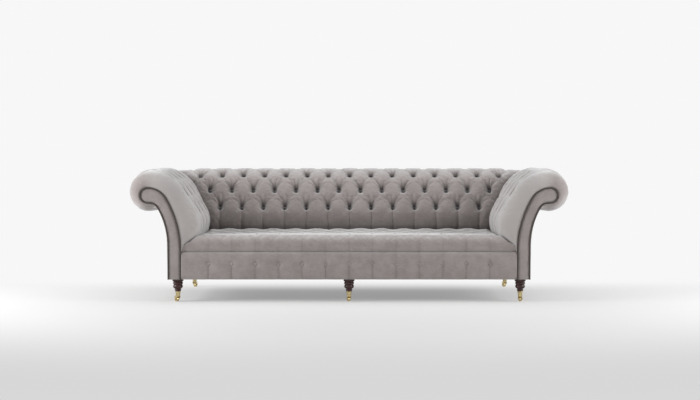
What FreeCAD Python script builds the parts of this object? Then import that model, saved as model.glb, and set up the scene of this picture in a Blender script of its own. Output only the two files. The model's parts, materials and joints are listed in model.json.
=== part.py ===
import FreeCAD, Part
import math
import os

from FreeCAD import Placement, Rotation, Vector

# A chesterfield sofa with scrolled arms and back, deep buttoning, scroll facings edged in
# dark piping, and turned front legs on brass swivel casters.
# Millimetres. +X is the sitter's left to right seen from the front, +Y runs to the back, +Z is up.
# The origin is on the floor, under the middle of the sofa.

# Overall sizes
OVERALL_WIDTH = 2626.0
OVERALL_DEPTH = 1000.0
ROLL_TOP = 774.0
FRAME_BOTTOM = 138.0
SEAM_HEIGHT = 302.0
SEAT_TOP = 400.0

# Scroll of the arms and the back, seen in section
ROLL_RADIUS = 112.0
ROLL_OVERHANG = 228.0
SHOULDER_RADIUS = 225.0
SHOULDER_TURN = 60.0
SLOPE_LENGTH = 152.0
BELLY_RADIUS = 160.0
BEVEL_TOP = 395.0
SKIRT_TURN = 8.0
ARM_FRONT_ROUND = 40.0

# Core inside the padding: scroll boards, hessian and outside covers
CORE_THICKNESS = 82.0
TOP_PADDING = 83.0
HEAD_RADIUS = 49.0
NECK_RADIUS = 130.0
NOOK_RADIUS = 48.0
NOOK_RUN = 14.0
CORE_TURN = 60.0
LINING_THICKNESS = 3.0
BOARD_THICKNESS = 25.0

# Facings, border and piping
FACING_THICKNESS = 12.0
BORDER_THICKNESS = 30.0
PIPING_DIAMETER = 8.0
PIPING_PROUD = 1.0
SEAT_FRONT_ROUND = 55.0

# Buttoning
TUFT_COLUMN = 140.0
TUFT_ROW = 123.0
FIRST_ROW = 0.0
FACE_ROWS = 4
CORNER_MARGIN = 70.0
ARM_PLAIN_BAND = 170.0
SEAT_ROWS = 4
SEAT_ROW = 112.0
SEAT_FIRST_ROW = 130.0
SEAT_SIDE_MARGIN = 60.0
BUTTON_RADIUS = 10.0
BUTTON_EDGE = 2.0
BUTTON_HEIGHT = 6.0
WELL_DEPTH = 22.0
WELL_MOUTH = 24.0
BORDER_WELL_DEPTH = 6.0
BORDER_WELL_MOUTH = 16.0
BORDER_BUTTON_RISE = 93.0
BORDER_END_MARGIN = 130.0

# Timber rails
RAIL_THICKNESS = 35.0
CROSS_RAIL_THICKNESS = 40.0
CROSS_RAIL_HEIGHT = 60.0
CROSS_RAIL_X = 330.0
STUFFING_RAIL_HEIGHT = 45.0
STUFFING_RAIL_THICKNESS = 24.0
STUFFING_RAIL_LIFT = 40.0
TOP_RAIL_HEIGHT = 50.0
TOP_RAIL_THICKNESS = 40.0
CORNER_BLOCK = 80.0
CORNER_BLOCK_HEIGHT = 60.0
BOARD_CORNER_INSET = 16.0

# Seat springing
SPRING_WIRE = 4.0
SPRING_WIDTH = 60.0
SPRING_BARS = 18
CLIP_WIDTH = 20.0
CLIP_LENGTH = 15.0
CLIP_SHEET = 1.2
DECK_CLOTH = 1.5
DUST_CLOTH = 1.5
DUST_CLOTH_MARGIN = 12.0

# Legs
LEG_INSET = 55.0
LEG_TOP_RADIUS = 33.5
REAR_LEG_TOP = 46.0
REAR_LEG_FOOT = 30.0
REAR_LEG_RAKE = 52.0
BOLT_RADIUS = 4.0
BOLT_IN_LEG = 30.0
BOLT_IN_RAIL = 40.0

# Brass casters
WHEEL_RADIUS = 15.0
WHEEL_WIDTH = 17.0
WHEEL_EDGE = 2.5
AXLE_RADIUS = 2.5
AXLE_HEAD = 1.5
AXLE_HEAD_RADIUS = 4.0
CHEEK_THICKNESS = 3.0
CASTER_TRAIL = 14.0
CROWN_RADIUS = 11.0
CROWN_THICKNESS = 3.5
PINTLE_RADIUS = 3.0
PINTLE_HEAD_RADIUS = 5.0
PINTLE_HEAD = 1.8
CUP_FLOOR = 3.0
CUP_HEIGHT = 27.0
CUP_FOOT_RADIUS = 12.5
CUP_MOUTH_RADIUS = 15.6
CUP_RIM_RADIUS = 17.0
CUP_RIM = 3.0
SPIGOT_TOP_RADIUS = 14.0
SPIGOT_FOOT_RADIUS = 11.0
WHEEL_CLEARANCE = 1.5

# Clearances
FIT = 0.3
RUNNING = 0.05

# Which way each caster trails at rest, in degrees from straight back towards the sofa's left
CASTER_YAW = {
    "front_left": 40.0,
    "front_centre": 6.0,
    "front_right": -15.0,
    "rear_left": -12.0,
    "rear_centre": 9.0,
    "rear_right": 14.0,
}

# Places worked out from the sizes above
PANEL_X = OVERALL_WIDTH / 2 - ROLL_OVERHANG
PANEL_Y = OVERALL_DEPTH / 2 - ROLL_OVERHANG
ROLL_O = ROLL_OVERHANG - ROLL_RADIUS
ROLL_BOTTOM = ROLL_TOP - 2 * ROLL_RADIUS
HEAD_TOP = ROLL_TOP - TOP_PADDING
HEAD_BOTTOM = HEAD_TOP - 2 * HEAD_RADIUS
CORE_ANGLE = 90 + CORE_TURN
PIPING_RADIUS = PIPING_DIAMETER / 2
PIPING_Y = -OVERALL_DEPTH / 2 + PIPING_RADIUS
FRONT_Y = PIPING_Y + PIPING_PROUD
BOARD_Y = FRONT_Y + FACING_THICKNESS
BOARD_BACK_Y = BOARD_Y + BOARD_THICKNESS
BOARD_INSET = LINING_THICKNESS + 2 * FIT
CORE_X = PANEL_X - CORE_THICKNESS
CORE_Y = PANEL_Y - CORE_THICKNESS
RAIL_Y = FRONT_Y + BORDER_THICKNESS
RAIL_BACK_Y = RAIL_Y + RAIL_THICKNESS
REAR_RAIL_Y = CORE_Y + BOARD_INSET
REAR_RAIL_BACK_Y = PANEL_Y - BOARD_INSET
SIDE_RAIL_X = CORE_X + BOARD_INSET
SIDE_RAIL_OUTER_X = PANEL_X - BOARD_INSET
DECK_Z = SEAM_HEIGHT - FIT - DECK_CLOTH
WIRE_Z = DECK_Z - 2 * FIT - CLIP_SHEET - SPRING_WIRE / 2
RAIL_TOP = WIRE_Z - SPRING_WIRE / 2 - FIT - CLIP_SHEET
FRONT_LEG_Y = RAIL_Y + RAIL_THICKNESS / 2
REAR_LEG_Y = (REAR_RAIL_Y + REAR_RAIL_BACK_Y) / 2
LEG_X = PANEL_X - LEG_INSET
WELL_FLOOR = BUTTON_RADIUS + 2 * FIT
CROWN_Z = 2 * WHEEL_RADIUS + WHEEL_CLEARANCE
CUP_Z = CROWN_Z + CROWN_THICKNESS + FIT
CUP_TOP = CUP_Z + CUP_HEIGHT
SPIGOT_Z = CUP_Z + CUP_FLOOR + PINTLE_HEAD + 3 * FIT
BEYOND = 2 * OVERALL_WIDTH


def at(o, z):
    """A point of the scroll section: o outwards from the outside cover, z above the floor."""
    return Vector(o, 0, z)


def on_arc(centre, radius, degrees):
    angle = math.radians(degrees)
    return at(centre.x + radius * math.cos(angle), centre.z + radius * math.sin(angle))


def arc(centre, radius, start, end):
    ends = [on_arc(centre, radius, a) for a in (start, (start + end) / 2, end)]
    return Part.Arc(*ends).toShape()


def line(start, end):
    return Part.LineSegment(start, end).toShape()


def polygon_face(points):
    return Part.Face(Part.makePolygon(points + points[:1]))


# Centres of the core's arcs
HEAD_CENTRE = at(ROLL_O, HEAD_TOP - HEAD_RADIUS)
NECK_CENTRE = at(ROLL_O, HEAD_TOP - NECK_RADIUS)
NOOK_CENTRE = at(ROLL_O - NOOK_RUN, HEAD_BOTTOM - NOOK_RADIUS)
ARC_SHARE = 1 + math.cos(math.radians(CORE_ANGLE))
SWEEP_START = on_arc(NECK_CENTRE, NECK_RADIUS, CORE_ANGLE)
SWEEP_RADIUS = (SWEEP_START.x + CORE_THICKNESS) / ARC_SHARE
SWEEP_CENTRE = on_arc(SWEEP_START, -SWEEP_RADIUS, CORE_ANGLE)
FLARE_START = on_arc(NOOK_CENTRE, NOOK_RADIUS, CORE_ANGLE)
FLARE_RADIUS = FLARE_START.x / ARC_SHARE
FLARE_CENTRE = on_arc(FLARE_START, -FLARE_RADIUS, CORE_ANGLE)

# Centres of the padding's arcs
ROLL_CENTRE = at(ROLL_O, ROLL_TOP - ROLL_RADIUS)
SHOULDER_CENTRE = at(ROLL_O, ROLL_TOP - SHOULDER_RADIUS)
FACE_ANGLE = 90 + SHOULDER_TURN
SLOPE_START = on_arc(SHOULDER_CENTRE, SHOULDER_RADIUS, FACE_ANGLE)
BELLY_START = on_arc(SLOPE_START, SLOPE_LENGTH, FACE_ANGLE + 90)
BELLY_CENTRE = on_arc(BELLY_START, -BELLY_RADIUS, FACE_ANGLE)
BEVEL_ANGLE = 180 - math.degrees(math.asin((BEVEL_TOP - BELLY_CENTRE.z) / BELLY_RADIUS))
BEVEL_POINT = on_arc(BELLY_CENTRE, BELLY_RADIUS, BEVEL_ANGLE)
BEVEL_FOOT = at(-CORE_THICKNESS, SEAM_HEIGHT + FIT)


def core_edges(inset):
    """The core's outline, from the inner foot up, over the head and down to the outer foot."""
    left = -CORE_THICKNESS + inset
    low_left = at(left, FRAME_BOTTOM)
    low_right = at(-inset, FRAME_BOTTOM)
    head_low = on_arc(HEAD_CENTRE, HEAD_RADIUS - inset, -90)
    nook_top = on_arc(NOOK_CENTRE, NOOK_RADIUS + inset, 90)
    return [
        line(low_left, at(left, SWEEP_CENTRE.z)),
        arc(SWEEP_CENTRE, SWEEP_RADIUS - inset, 180, CORE_ANGLE),
        arc(NECK_CENTRE, NECK_RADIUS - inset, CORE_ANGLE, 90),
        arc(HEAD_CENTRE, HEAD_RADIUS - inset, 90, -90),
        line(head_low, nook_top),
        arc(NOOK_CENTRE, NOOK_RADIUS + inset, 90, CORE_ANGLE),
        arc(FLARE_CENTRE, FLARE_RADIUS + inset, CORE_ANGLE, 180),
        line(at(-inset, FLARE_CENTRE.z), low_right),
    ]


def core_face(inset):
    edges = core_edges(inset)
    foot = line(edges[-1].Vertexes[-1].Point, edges[0].Vertexes[0].Point)
    return Part.Face(Part.Wire(edges + [foot]))


def core_middle(z):
    """The middle of the core at a height between the seam and the roll's underside."""
    inner = SWEEP_CENTRE.x - math.sqrt(SWEEP_RADIUS**2 - max(z - SWEEP_CENTRE.z, 0) ** 2)
    outer = FLARE_CENTRE.x - math.sqrt(FLARE_RADIUS**2 - max(z - FLARE_CENTRE.z, 0) ** 2)
    return at((inner + outer) / 2, z)


def pad_outline():
    """The padding's outer shape, closed within the core and carried straight down past its bevel."""
    roll_low = at(ROLL_O, ROLL_BOTTOM)
    under = core_middle(ROLL_BOTTOM)
    tuck = core_middle(BEVEL_FOOT.z)
    end_angle = BEVEL_ANGLE + SKIRT_TURN
    skirt_top = on_arc(BELLY_CENTRE, BELLY_RADIUS, end_angle)
    skirt_fall = (skirt_top.z - BEVEL_FOOT.z) / math.cos(math.radians(end_angle - 180))
    skirt_foot = on_arc(skirt_top, skirt_fall, end_angle + 90)
    edges = Part.Wire(
        [
            line(skirt_foot, skirt_top),
            arc(BELLY_CENTRE, BELLY_RADIUS, end_angle, FACE_ANGLE),
            line(BELLY_START, SLOPE_START),
            arc(SHOULDER_CENTRE, SHOULDER_RADIUS, FACE_ANGLE, 90),
            arc(ROLL_CENTRE, ROLL_RADIUS, 90, -90),
            line(roll_low, under),
            line(under, tuck),
            line(tuck, skirt_foot),
        ]
    )
    return Part.Face(edges)


def belly_edge(z):
    """How far the belly of the padding reaches at a height."""
    return BELLY_CENTRE.x - math.sqrt(max(BELLY_RADIUS**2 - (z - BELLY_CENTRE.z) ** 2, 0))


def bevel_space():
    """What the seat fills under the padding, beyond the slanting line from its foot."""
    beyond = BEVEL_POINT + (BEVEL_POINT - BEVEL_FOOT)
    low = SEAM_HEIGHT - CORE_THICKNESS
    return polygon_face([BEVEL_FOOT, beyond, at(beyond.x, low), at(BEVEL_FOOT.x, low)])


def pad_face():
    return pad_outline().cut([core_face(0), bevel_space()]).Faces[0]


def lining_face(region):
    """A thin layer just inside the core's outline, where it runs through the region."""
    layer = core_face(FIT).cut(core_face(FIT + LINING_THICKNESS))
    return layer.common(polygon_face(region)).Faces[0]


def hessian_face():
    crown = ROLL_TOP + ROLL_RADIUS
    region = [
        at(-BEYOND, SEAM_HEIGHT + FIT),
        core_middle(SEAM_HEIGHT + FIT),
        core_middle(ROLL_BOTTOM),
        HEAD_CENTRE,
        at(ROLL_O, crown),
        at(-BEYOND, crown),
    ]
    return lining_face(region)


def outside_face():
    top = ROLL_BOTTOM - FIT
    region = [
        core_middle(top),
        at(BEYOND, top),
        at(BEYOND, FRAME_BOTTOM),
        core_middle(FRAME_BOTTOM),
    ]
    return lining_face(region)


def swept(face, start, end):
    """A section pushed along +Y, set at the right arm."""
    solid = face.extrude(Vector(0, end - start, 0))
    solid.translate(Vector(PANEL_X, start, 0))
    return solid


def mirrored(shape):
    return shape.mirror(Vector(0, 0, 0), Vector(1, 0, 0))


def swept_back(face, half_length):
    """A section pushed along X, set at the back."""
    solid = face.extrude(Vector(0, 2 * half_length, 0))
    solid.translate(Vector(0, -half_length, 0))
    solid.rotate(Vector(0, 0, 0), Vector(0, 0, 1), 90)
    solid.translate(Vector(0, PANEL_Y, 0))
    return solid


def box(x, y, z):
    """A box from three (low, high) pairs."""
    size = [high - low for low, high in (x, y, z)]
    return Part.makeBox(*size, Vector(x[0], y[0], z[0]))


def mitre_tool(behind):
    """The space past the corner's 45 degree mitre: behind it for the arm, beside it for the back."""
    gap = FIT / 2 if behind else -FIT / 2
    reach = OVERALL_DEPTH
    low = Vector(PANEL_X - reach, PANEL_Y - reach - gap, 0)
    high = Vector(PANEL_X + reach, PANEL_Y + reach - gap, 0)
    side = Vector(low.x, high.y, 0) if behind else Vector(high.x, low.y, 0)
    return polygon_face([low, high, side]).extrude(Vector(0, 0, OVERALL_DEPTH))


def arm_length(face):
    """A section run along the right arm from the front to the corner's mitre."""
    return swept(face, FRONT_Y, OVERALL_DEPTH).cut(mitre_tool(True))


def back_length(face):
    """A section run along the back between the two mitres."""
    tool = mitre_tool(False)
    return swept_back(face, OVERALL_WIDTH / 2 + ROLL_OVERHANG).cut([tool, mirrored(tool)])


# Buttoning


def face_place(distance):
    """Point and outward normal of the padding, at a distance from the roll's top down the face."""
    shoulder = math.radians(SHOULDER_TURN) * SHOULDER_RADIUS
    belly = distance - shoulder - SLOPE_LENGTH
    if distance <= shoulder:
        angle = 90 + math.degrees(distance / SHOULDER_RADIUS)
        point = on_arc(SHOULDER_CENTRE, SHOULDER_RADIUS, angle)
    elif belly <= 0:
        angle = FACE_ANGLE
        point = on_arc(SLOPE_START, distance - shoulder, angle + 90)
    else:
        angle = FACE_ANGLE + math.degrees(belly / BELLY_RADIUS)
        point = on_arc(BELLY_CENTRE, BELLY_RADIUS, angle)
    return point, on_arc(at(0, 0), 1, angle)


def columns(shifted, low, high, pitch=TUFT_COLUMN):
    """Places of a row's buttons between two limits, on the pitch or half a pitch along."""
    shift = pitch / 2 if shifted else 0
    first = math.ceil((low - shift) / pitch)
    last = math.floor((high - shift) / pitch)
    return [shift + n * pitch for n in range(first, last + 1)]


def back_tufts():
    tufts = []
    for row in range(FACE_ROWS):
        point, normal = face_place(FIRST_ROW + row * TUFT_ROW)
        reach = PANEL_X + point.x - CORNER_MARGIN
        for x in columns(row % 2 == 0, -reach, reach):
            tufts.append((Vector(x, PANEL_Y + point.x, point.z), Vector(0, normal.x, normal.z)))
    return tufts


def arm_tufts():
    """The right arm's buttons, on the back's columns turned about the corner's mitre."""
    tufts = []
    for row in range(FACE_ROWS):
        point, normal = face_place(FIRST_ROW + row * TUFT_ROW)
        low = FRONT_Y + ARM_PLAIN_BAND - PANEL_Y + PANEL_X
        high = PANEL_X + point.x - CORNER_MARGIN
        for x in columns(row % 2 == 0, low, high):
            y = x - PANEL_X + PANEL_Y
            tufts.append((Vector(PANEL_X + point.x, y, point.z), normal))
    return tufts


def seat_tufts():
    reach = PANEL_X + BEVEL_POINT.x - SEAT_SIDE_MARGIN
    tufts = []
    for row in range(SEAT_ROWS):
        y = FRONT_Y + SEAT_FIRST_ROW + row * SEAT_ROW
        for x in columns(row % 2 == 1, -reach, reach):
            tufts.append((Vector(x, y, SEAT_TOP), Vector(0, 0, 1)))
    return tufts


def border_tufts():
    reach = CORE_X - BORDER_END_MARGIN
    z = FRAME_BOTTOM + BORDER_BUTTON_RISE
    return [(Vector(x, FRONT_Y, z), Vector(0, -1, 0)) for x in columns(False, -reach, reach)]


def mirrored_tufts(tufts):
    return [(Vector(-p.x, p.y, p.z), Vector(-n.x, n.y, n.z)) for p, n in tufts]


def well_ring(radius, z):
    """An eight-sided ring about a circle of the radius."""
    corner = radius / math.cos(math.pi / 8)
    turns = [(n + 0.5) * math.pi / 4 for n in range(8)]
    points = [Vector(corner * math.cos(a), corner * math.sin(a), z) for a in turns]
    return Part.makePolygon(points + points[:1])


def wells(tufts, depth, mouth):
    """Tapered eight-sided hollows that the buttons are pulled down into."""
    above = mouth + (mouth - WELL_FLOOR)
    hollow = Part.makeLoft([well_ring(WELL_FLOOR, -depth), well_ring(above, depth)], True, True)
    made = []
    for point, normal in tufts:
        one = hollow.copy()
        one.Placement = Placement(point, Rotation(Vector(0, 0, 1), normal))
        made.append(one)
    return made


def button():
    """A covered button with a round-topped crown, standing on z = 0."""
    rise = BUTTON_HEIGHT - BUTTON_EDGE
    ball = (BUTTON_RADIUS**2 + rise**2) / (2 * rise)
    body = Part.makeCylinder(BUTTON_RADIUS, BUTTON_HEIGHT)
    return body.common(Part.makeSphere(ball, Vector(0, 0, BUTTON_HEIGHT - ball)))


def buttons(tufts, depth):
    made = []
    for point, normal in tufts:
        one = button()
        turn = Rotation(Vector(0, 0, 1), normal)
        one.Placement = Placement(point - normal * (depth - FIT / 3), turn)
        made.append(one)
    return Part.makeCompound(made)


# Upholstery


def rounded_arm_front(pad):
    """Eases the padding's outer edge where the roll turns in to the facing."""
    outer = [
        on_arc(ROLL_CENTRE, ROLL_RADIUS, 0),
        on_arc(SHOULDER_CENTRE, SHOULDER_RADIUS, (90 + FACE_ANGLE) / 2),
        (SLOPE_START + BELLY_START) * 0.5,
        on_arc(BELLY_CENTRE, BELLY_RADIUS, (FACE_ANGLE + BEVEL_ANGLE) / 2),
    ]
    places = [Part.Vertex(PANEL_X + p.x, FRONT_Y, p.z) for p in outer]
    edges = [e for e in pad.Edges if any(e.distToShape(place)[0] < FIT for place in places)]
    return pad.makeFillet(ARM_FRONT_ROUND, edges)


def arm_pad():
    """The front is rounded while the arm is whole, then the core and the seat's space come out."""
    spaces = [swept(face, FRONT_Y - FIT, OVERALL_DEPTH) for face in (core_face(0), bevel_space())]
    pad = rounded_arm_front(arm_length(pad_outline())).cut(spaces)
    return pad.cut(wells(arm_tufts(), WELL_DEPTH, WELL_MOUTH))


def back_pad():
    return back_length(pad_face()).cut(wells(back_tufts(), WELL_DEPTH, WELL_MOUTH))


def seat_pad():
    """A block with its sides and rear bevelled under the arm and back padding."""
    foot = at(BEVEL_FOOT.x - 2 * FIT, SEAM_HEIGHT)
    slope = (BEVEL_POINT.x - BEVEL_FOOT.x) / (BEVEL_POINT.z - BEVEL_FOOT.z)
    bevel = at(foot.x + slope * (BEVEL_TOP - SEAM_HEIGHT), BEVEL_TOP)
    rim = at(belly_edge(SEAT_TOP) - 2 * FIT, SEAT_TOP)
    half = [Vector(PANEL_X + p.x, 0, p.z) for p in (foot, bevel, rim)]
    across = half + [Vector(-p.x, 0, p.z) for p in reversed(half)]
    long_block = polygon_face(across).extrude(Vector(0, 2 * OVERALL_DEPTH, 0))
    long_block.translate(Vector(0, -OVERALL_DEPTH, 0))
    front_low = Vector(0, FRONT_Y, SEAM_HEIGHT)
    front_high = Vector(0, FRONT_Y, SEAT_TOP)
    rear = [Vector(0, PANEL_Y + p.x, p.z) for p in (rim, bevel, foot)]
    wide_block = polygon_face([front_low, front_high] + rear).extrude(Vector(BEYOND, 0, 0))
    wide_block.translate(Vector(-BEYOND / 2, 0, 0))
    pad = long_block.common(wide_block)
    lip = [e for e in pad.Edges if e.BoundBox.ZMin > SEAT_TOP - FIT and e.BoundBox.YMax < FRONT_Y + FIT]
    pad = pad.makeFillet(SEAT_FRONT_ROUND, lip)
    return pad.cut(wells(seat_tufts(), WELL_DEPTH, WELL_MOUTH))


def front_border():
    reach = CORE_X - FIT
    border = box((-reach, reach), (FRONT_Y, RAIL_Y), (FRAME_BOTTOM, SEAM_HEIGHT))
    return border.cut(wells(border_tufts(), BORDER_WELL_DEPTH, BORDER_WELL_MOUTH))


def arm_facing():
    return swept(core_face(PIPING_DIAMETER + 2 * FIT), FRONT_Y, BOARD_Y)


def facing_piping():
    """A round cord in the groove between the facing and the padding."""
    path = Part.Wire(core_edges(PIPING_RADIUS + FIT))
    start = path.Edges[0].Vertexes[0].Point
    ring = Part.Wire(Part.makeCircle(PIPING_RADIUS, start, Vector(0, 0, 1)))
    cord = path.makePipeShell([ring], True, False)
    cord.translate(Vector(PANEL_X, PIPING_Y, 0))
    return cord


def outside_back():
    return back_length(outside_face())


def outside_arm():
    """The outside cover of the right arm, from the front board's edge to the corner."""
    return swept(outside_face(), BOARD_Y, OVERALL_DEPTH).cut(mitre_tool(True))


def arm_hessian():
    return swept(hessian_face(), BOARD_Y, OVERALL_DEPTH).cut(mitre_tool(True))


def deck_cloth():
    reach = CORE_X - FIT
    return box((-reach, reach), (RAIL_Y, CORE_Y - FIT), (DECK_Z, DECK_Z + DECK_CLOTH))


def dust_cover():
    """The cloth under the frame, cut round the legs, without the scraps that leaves at the corners."""
    reach = SIDE_RAIL_OUTER_X - DUST_CLOTH_MARGIN
    front = RAIL_Y + DUST_CLOTH_MARGIN
    back = REAR_RAIL_BACK_Y - DUST_CLOTH_MARGIN
    sheet = box((-reach, reach), (front, back), (FRAME_BOTTOM - DUST_CLOTH, FRAME_BOTTOM))
    clear = LEG_TOP_RADIUS + DUST_CLOTH_MARGIN / 2
    notches = []
    for x, y, _ in leg_places().values():
        foot = Vector(x, y, FRAME_BOTTOM - 2 * DUST_CLOTH)
        notches.append(Part.makeCylinder(clear, 3 * DUST_CLOTH, foot))
    return max(sheet.cut(notches).Solids, key=lambda piece: piece.Volume)


# Timber frame


def bolt_bores():
    """Holes up into the rails for the legs' hanger bolts."""
    tall = BOLT_IN_RAIL + FIT
    places = leg_places().values()
    return [Part.makeCylinder(BOLT_RADIUS + FIT / 3, tall, Vector(x, y, FRAME_BOTTOM)) for x, y, _ in places]


def cross_rail_places():
    return [-CROSS_RAIL_X, CROSS_RAIL_X]


def front_seat_rail():
    reach = SIDE_RAIL_X - FIT
    return box((-reach, reach), (RAIL_Y, RAIL_BACK_Y), (FRAME_BOTTOM, RAIL_TOP)).cut(bolt_bores())


def rear_seat_rail():
    reach = SIDE_RAIL_X - FIT
    rail = box((-reach, reach), (REAR_RAIL_Y, REAR_RAIL_BACK_Y), (FRAME_BOTTOM, RAIL_TOP))
    return rail.cut(bolt_bores())


def side_seat_rail():
    across = (SIDE_RAIL_X, SIDE_RAIL_OUTER_X)
    along = (BOARD_BACK_Y, REAR_RAIL_BACK_Y)
    return box(across, along, (FRAME_BOTTOM, RAIL_TOP)).cut(bolt_bores())


def seat_cross_rails():
    half = CROSS_RAIL_THICKNESS / 2
    rails = []
    for x in cross_rail_places():
        along = (RAIL_BACK_Y, REAR_RAIL_Y)
        rails.append(box((x - half, x + half), along, (FRAME_BOTTOM, FRAME_BOTTOM + CROSS_RAIL_HEIGHT)))
    return Part.makeCompound(rails)


def corner_blocks():
    """Three-cornered glue blocks in the seat frame's corners."""
    blocks = []
    for y, into in ((RAIL_BACK_Y, 1), (REAR_RAIL_Y, -1)):
        corner = Vector(SIDE_RAIL_X, y, FRAME_BOTTOM)
        along = corner + Vector(0, into * CORNER_BLOCK, 0)
        across = corner + Vector(-CORNER_BLOCK, 0, 0)
        block = polygon_face([corner, along, across]).extrude(Vector(0, 0, CORNER_BLOCK_HEIGHT))
        blocks += [block, mirrored(block)]
    return Part.makeCompound(blocks)


def scroll_board(low):
    """A scroll-shaped board of the core, cut off below a height."""
    keep = box((-BEYOND, BEYOND), (-1, 1), (low, ROLL_TOP))
    return core_face(BOARD_INSET).common(keep).Faces[0]


def arm_front_board():
    return swept(scroll_board(FRAME_BOTTOM), BOARD_Y, BOARD_BACK_Y)


def arm_rear_board_y():
    back = CORE_Y - BOARD_CORNER_INSET
    return back - BOARD_THICKNESS, back


def arm_rear_board():
    return swept(scroll_board(RAIL_TOP), *arm_rear_board_y())


def upright_places():
    end = CORE_X - BOARD_CORNER_INSET - BOARD_THICKNESS / 2
    return [-end, -CROSS_RAIL_X, CROSS_RAIL_X, end]


def back_uprights():
    boards = []
    for x in upright_places():
        board = swept_back(scroll_board(RAIL_TOP), BOARD_THICKNESS / 2)
        board.translate(Vector(x, 0, 0))
        boards.append(board)
    return Part.makeCompound(boards)


def rail_section(middle, width, height):
    half_width, half_height = width / 2, height / 2
    corners = [(-1, -1), (1, -1), (1, 1), (-1, 1)]
    return polygon_face([at(middle.x + a * half_width, middle.z + b * half_height) for a, b in corners])


def top_rail_section():
    return rail_section(HEAD_CENTRE, TOP_RAIL_THICKNESS, TOP_RAIL_HEIGHT)


def stuffing_rail_section():
    middle = core_middle(SEAM_HEIGHT + STUFFING_RAIL_LIFT + STUFFING_RAIL_HEIGHT / 2)
    return rail_section(middle, STUFFING_RAIL_THICKNESS, STUFFING_RAIL_HEIGHT)


def arm_rail(section):
    return swept(section, BOARD_BACK_Y, arm_rear_board_y()[0])


def back_rails(section):
    """Rails let in between one upright and the next."""
    rails = []
    places = upright_places()
    for left, right in zip(places, places[1:]):
        half = (right - left - BOARD_THICKNESS) / 2
        rail = swept_back(section, half)
        rail.translate(Vector((left + right) / 2, 0, 0))
        rails.append(rail)
    return Part.makeCompound(rails)


# Seat springing


def spring_places():
    reach = CORE_X - SPRING_WIDTH - SEAT_SIDE_MARGIN
    return columns(False, -reach, reach)


def zigzag_spring():
    """One flat zigzag spring from the front rail to the rear rail, about x = 0."""
    pitch = (REAR_LEG_Y - FRONT_LEG_Y) / SPRING_BARS
    bend = pitch / 2
    edges = []
    side = 1
    for bar in range(SPRING_BARS + 1):
        y = FRONT_LEG_Y + bar * pitch
        near = SPRING_WIDTH / 2 - bend
        start = Vector(-side * near, y, WIRE_Z)
        end = Vector(side * near, y, WIRE_Z)
        edges.append(line(start, end))
        if bar < SPRING_BARS:
            outer = Vector(side * (near + bend), y + bend, WIRE_Z)
            edges.append(Part.Arc(end, outer, end + Vector(0, pitch, 0)).toShape())
        side = -side
    path = Part.Wire(edges)
    ring = Part.Wire(Part.makeCircle(SPRING_WIRE / 2, edges[0].Vertexes[0].Point, Vector(1, 0, 0)))
    spring = path.makePipeShell([ring], True, False)
    return spring


def repeated(shape, places):
    made = []
    for x in places:
        one = shape.copy()
        one.translate(Vector(x, 0, 0))
        made.append(one)
    return Part.makeCompound(made)


def spring_clips():
    """Bent steel clips that hold each spring's end bars down on the rails."""
    half = CLIP_WIDTH / 2
    wrap = SPRING_WIRE / 2 + FIT
    made = []
    for y, outwards in ((FRONT_LEG_Y, -1), (REAR_LEG_Y, 1)):
        wall = sorted((y + outwards * wrap, y + outwards * (wrap + CLIP_SHEET)))
        tongue = sorted((wall[0] if outwards > 0 else wall[1], y - outwards * (CLIP_LENGTH - wrap)))
        top = WIRE_Z + wrap
        base = box((-half, half), (min(wall + tongue), max(wall + tongue)), (RAIL_TOP, RAIL_TOP + CLIP_SHEET))
        bend = box((-half, half), wall, (RAIL_TOP, top + CLIP_SHEET))
        lid = box((-half, half), (min(wall + tongue), max(wall + tongue)), (top, top + CLIP_SHEET))
        made.append(base.fuse([bend, lid]).removeSplitter())
    return repeated(Part.makeCompound(made), spring_places())


# Legs


def leg_places():
    """Each leg's x and y at the frame, and how far its caster stands behind that."""
    places = {}
    for side, x in (("left", -LEG_X), ("centre", 0.0), ("right", LEG_X)):
        places["front_" + side] = (x, FRONT_LEG_Y, 0.0)
        places["rear_" + side] = (x, REAR_LEG_Y, REAR_LEG_RAKE)
    return places


def bolt_bore_in_leg(y_shift):
    foot = Vector(0, -y_shift, FRAME_BOTTOM - BOLT_IN_LEG - FIT)
    return Part.makeCylinder(BOLT_RADIUS + FIT / 3, BOLT_IN_LEG + FIT, foot)


def spigot():
    """The tapered foot that sits in the caster's cup."""
    tall = CUP_TOP + FIT - SPIGOT_Z
    return Part.makeCone(SPIGOT_FOOT_RADIUS, SPIGOT_TOP_RADIUS, tall, Vector(0, 0, SPIGOT_Z))


def turned_leg():
    """A turned leg about the z axis: collar, ring, vase, ankle ring and spigot."""
    tall = FRAME_BOTTOM - CUP_TOP

    def spot(radius_share, height_share):
        return Vector(LEG_TOP_RADIUS * radius_share, 0, CUP_TOP + FIT + (tall - FIT) * height_share)

    def bow(start, middle, end):
        return Part.Arc(spot(*start), spot(*middle), spot(*end)).toShape()

    def run(start, end):
        return line(spot(*start), spot(*end))

    axis_top, axis_low = (0.0, 1.0), (0.0, 0.0)
    profile = [
        run(axis_top, (0.97, 1.0)),
        bow((0.97, 1.0), (1.0, 0.91), (0.97, 0.82)),
        bow((0.97, 0.82), (0.84, 0.795), (0.80, 0.75)),
        bow((0.80, 0.75), (0.90, 0.66), (0.80, 0.57)),
        bow((0.80, 0.57), (0.76, 0.54), (0.80, 0.51)),
        bow((0.80, 0.51), (0.88, 0.39), (0.66, 0.24)),
        bow((0.66, 0.24), (0.56, 0.20), (0.53, 0.15)),
        bow((0.53, 0.15), (0.59, 0.105), (0.53, 0.06)),
        run((0.53, 0.06), (0.46, 0.0)),
        run((0.46, 0.0), axis_low),
        run(axis_low, axis_top),
    ]
    turned = Part.Face(Part.Wire(profile)).revolve(Vector(0, 0, 0), Vector(0, 0, 1), 360)
    return turned.fuse(spigot()).removeSplitter().cut(bolt_bore_in_leg(0.0))


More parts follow.
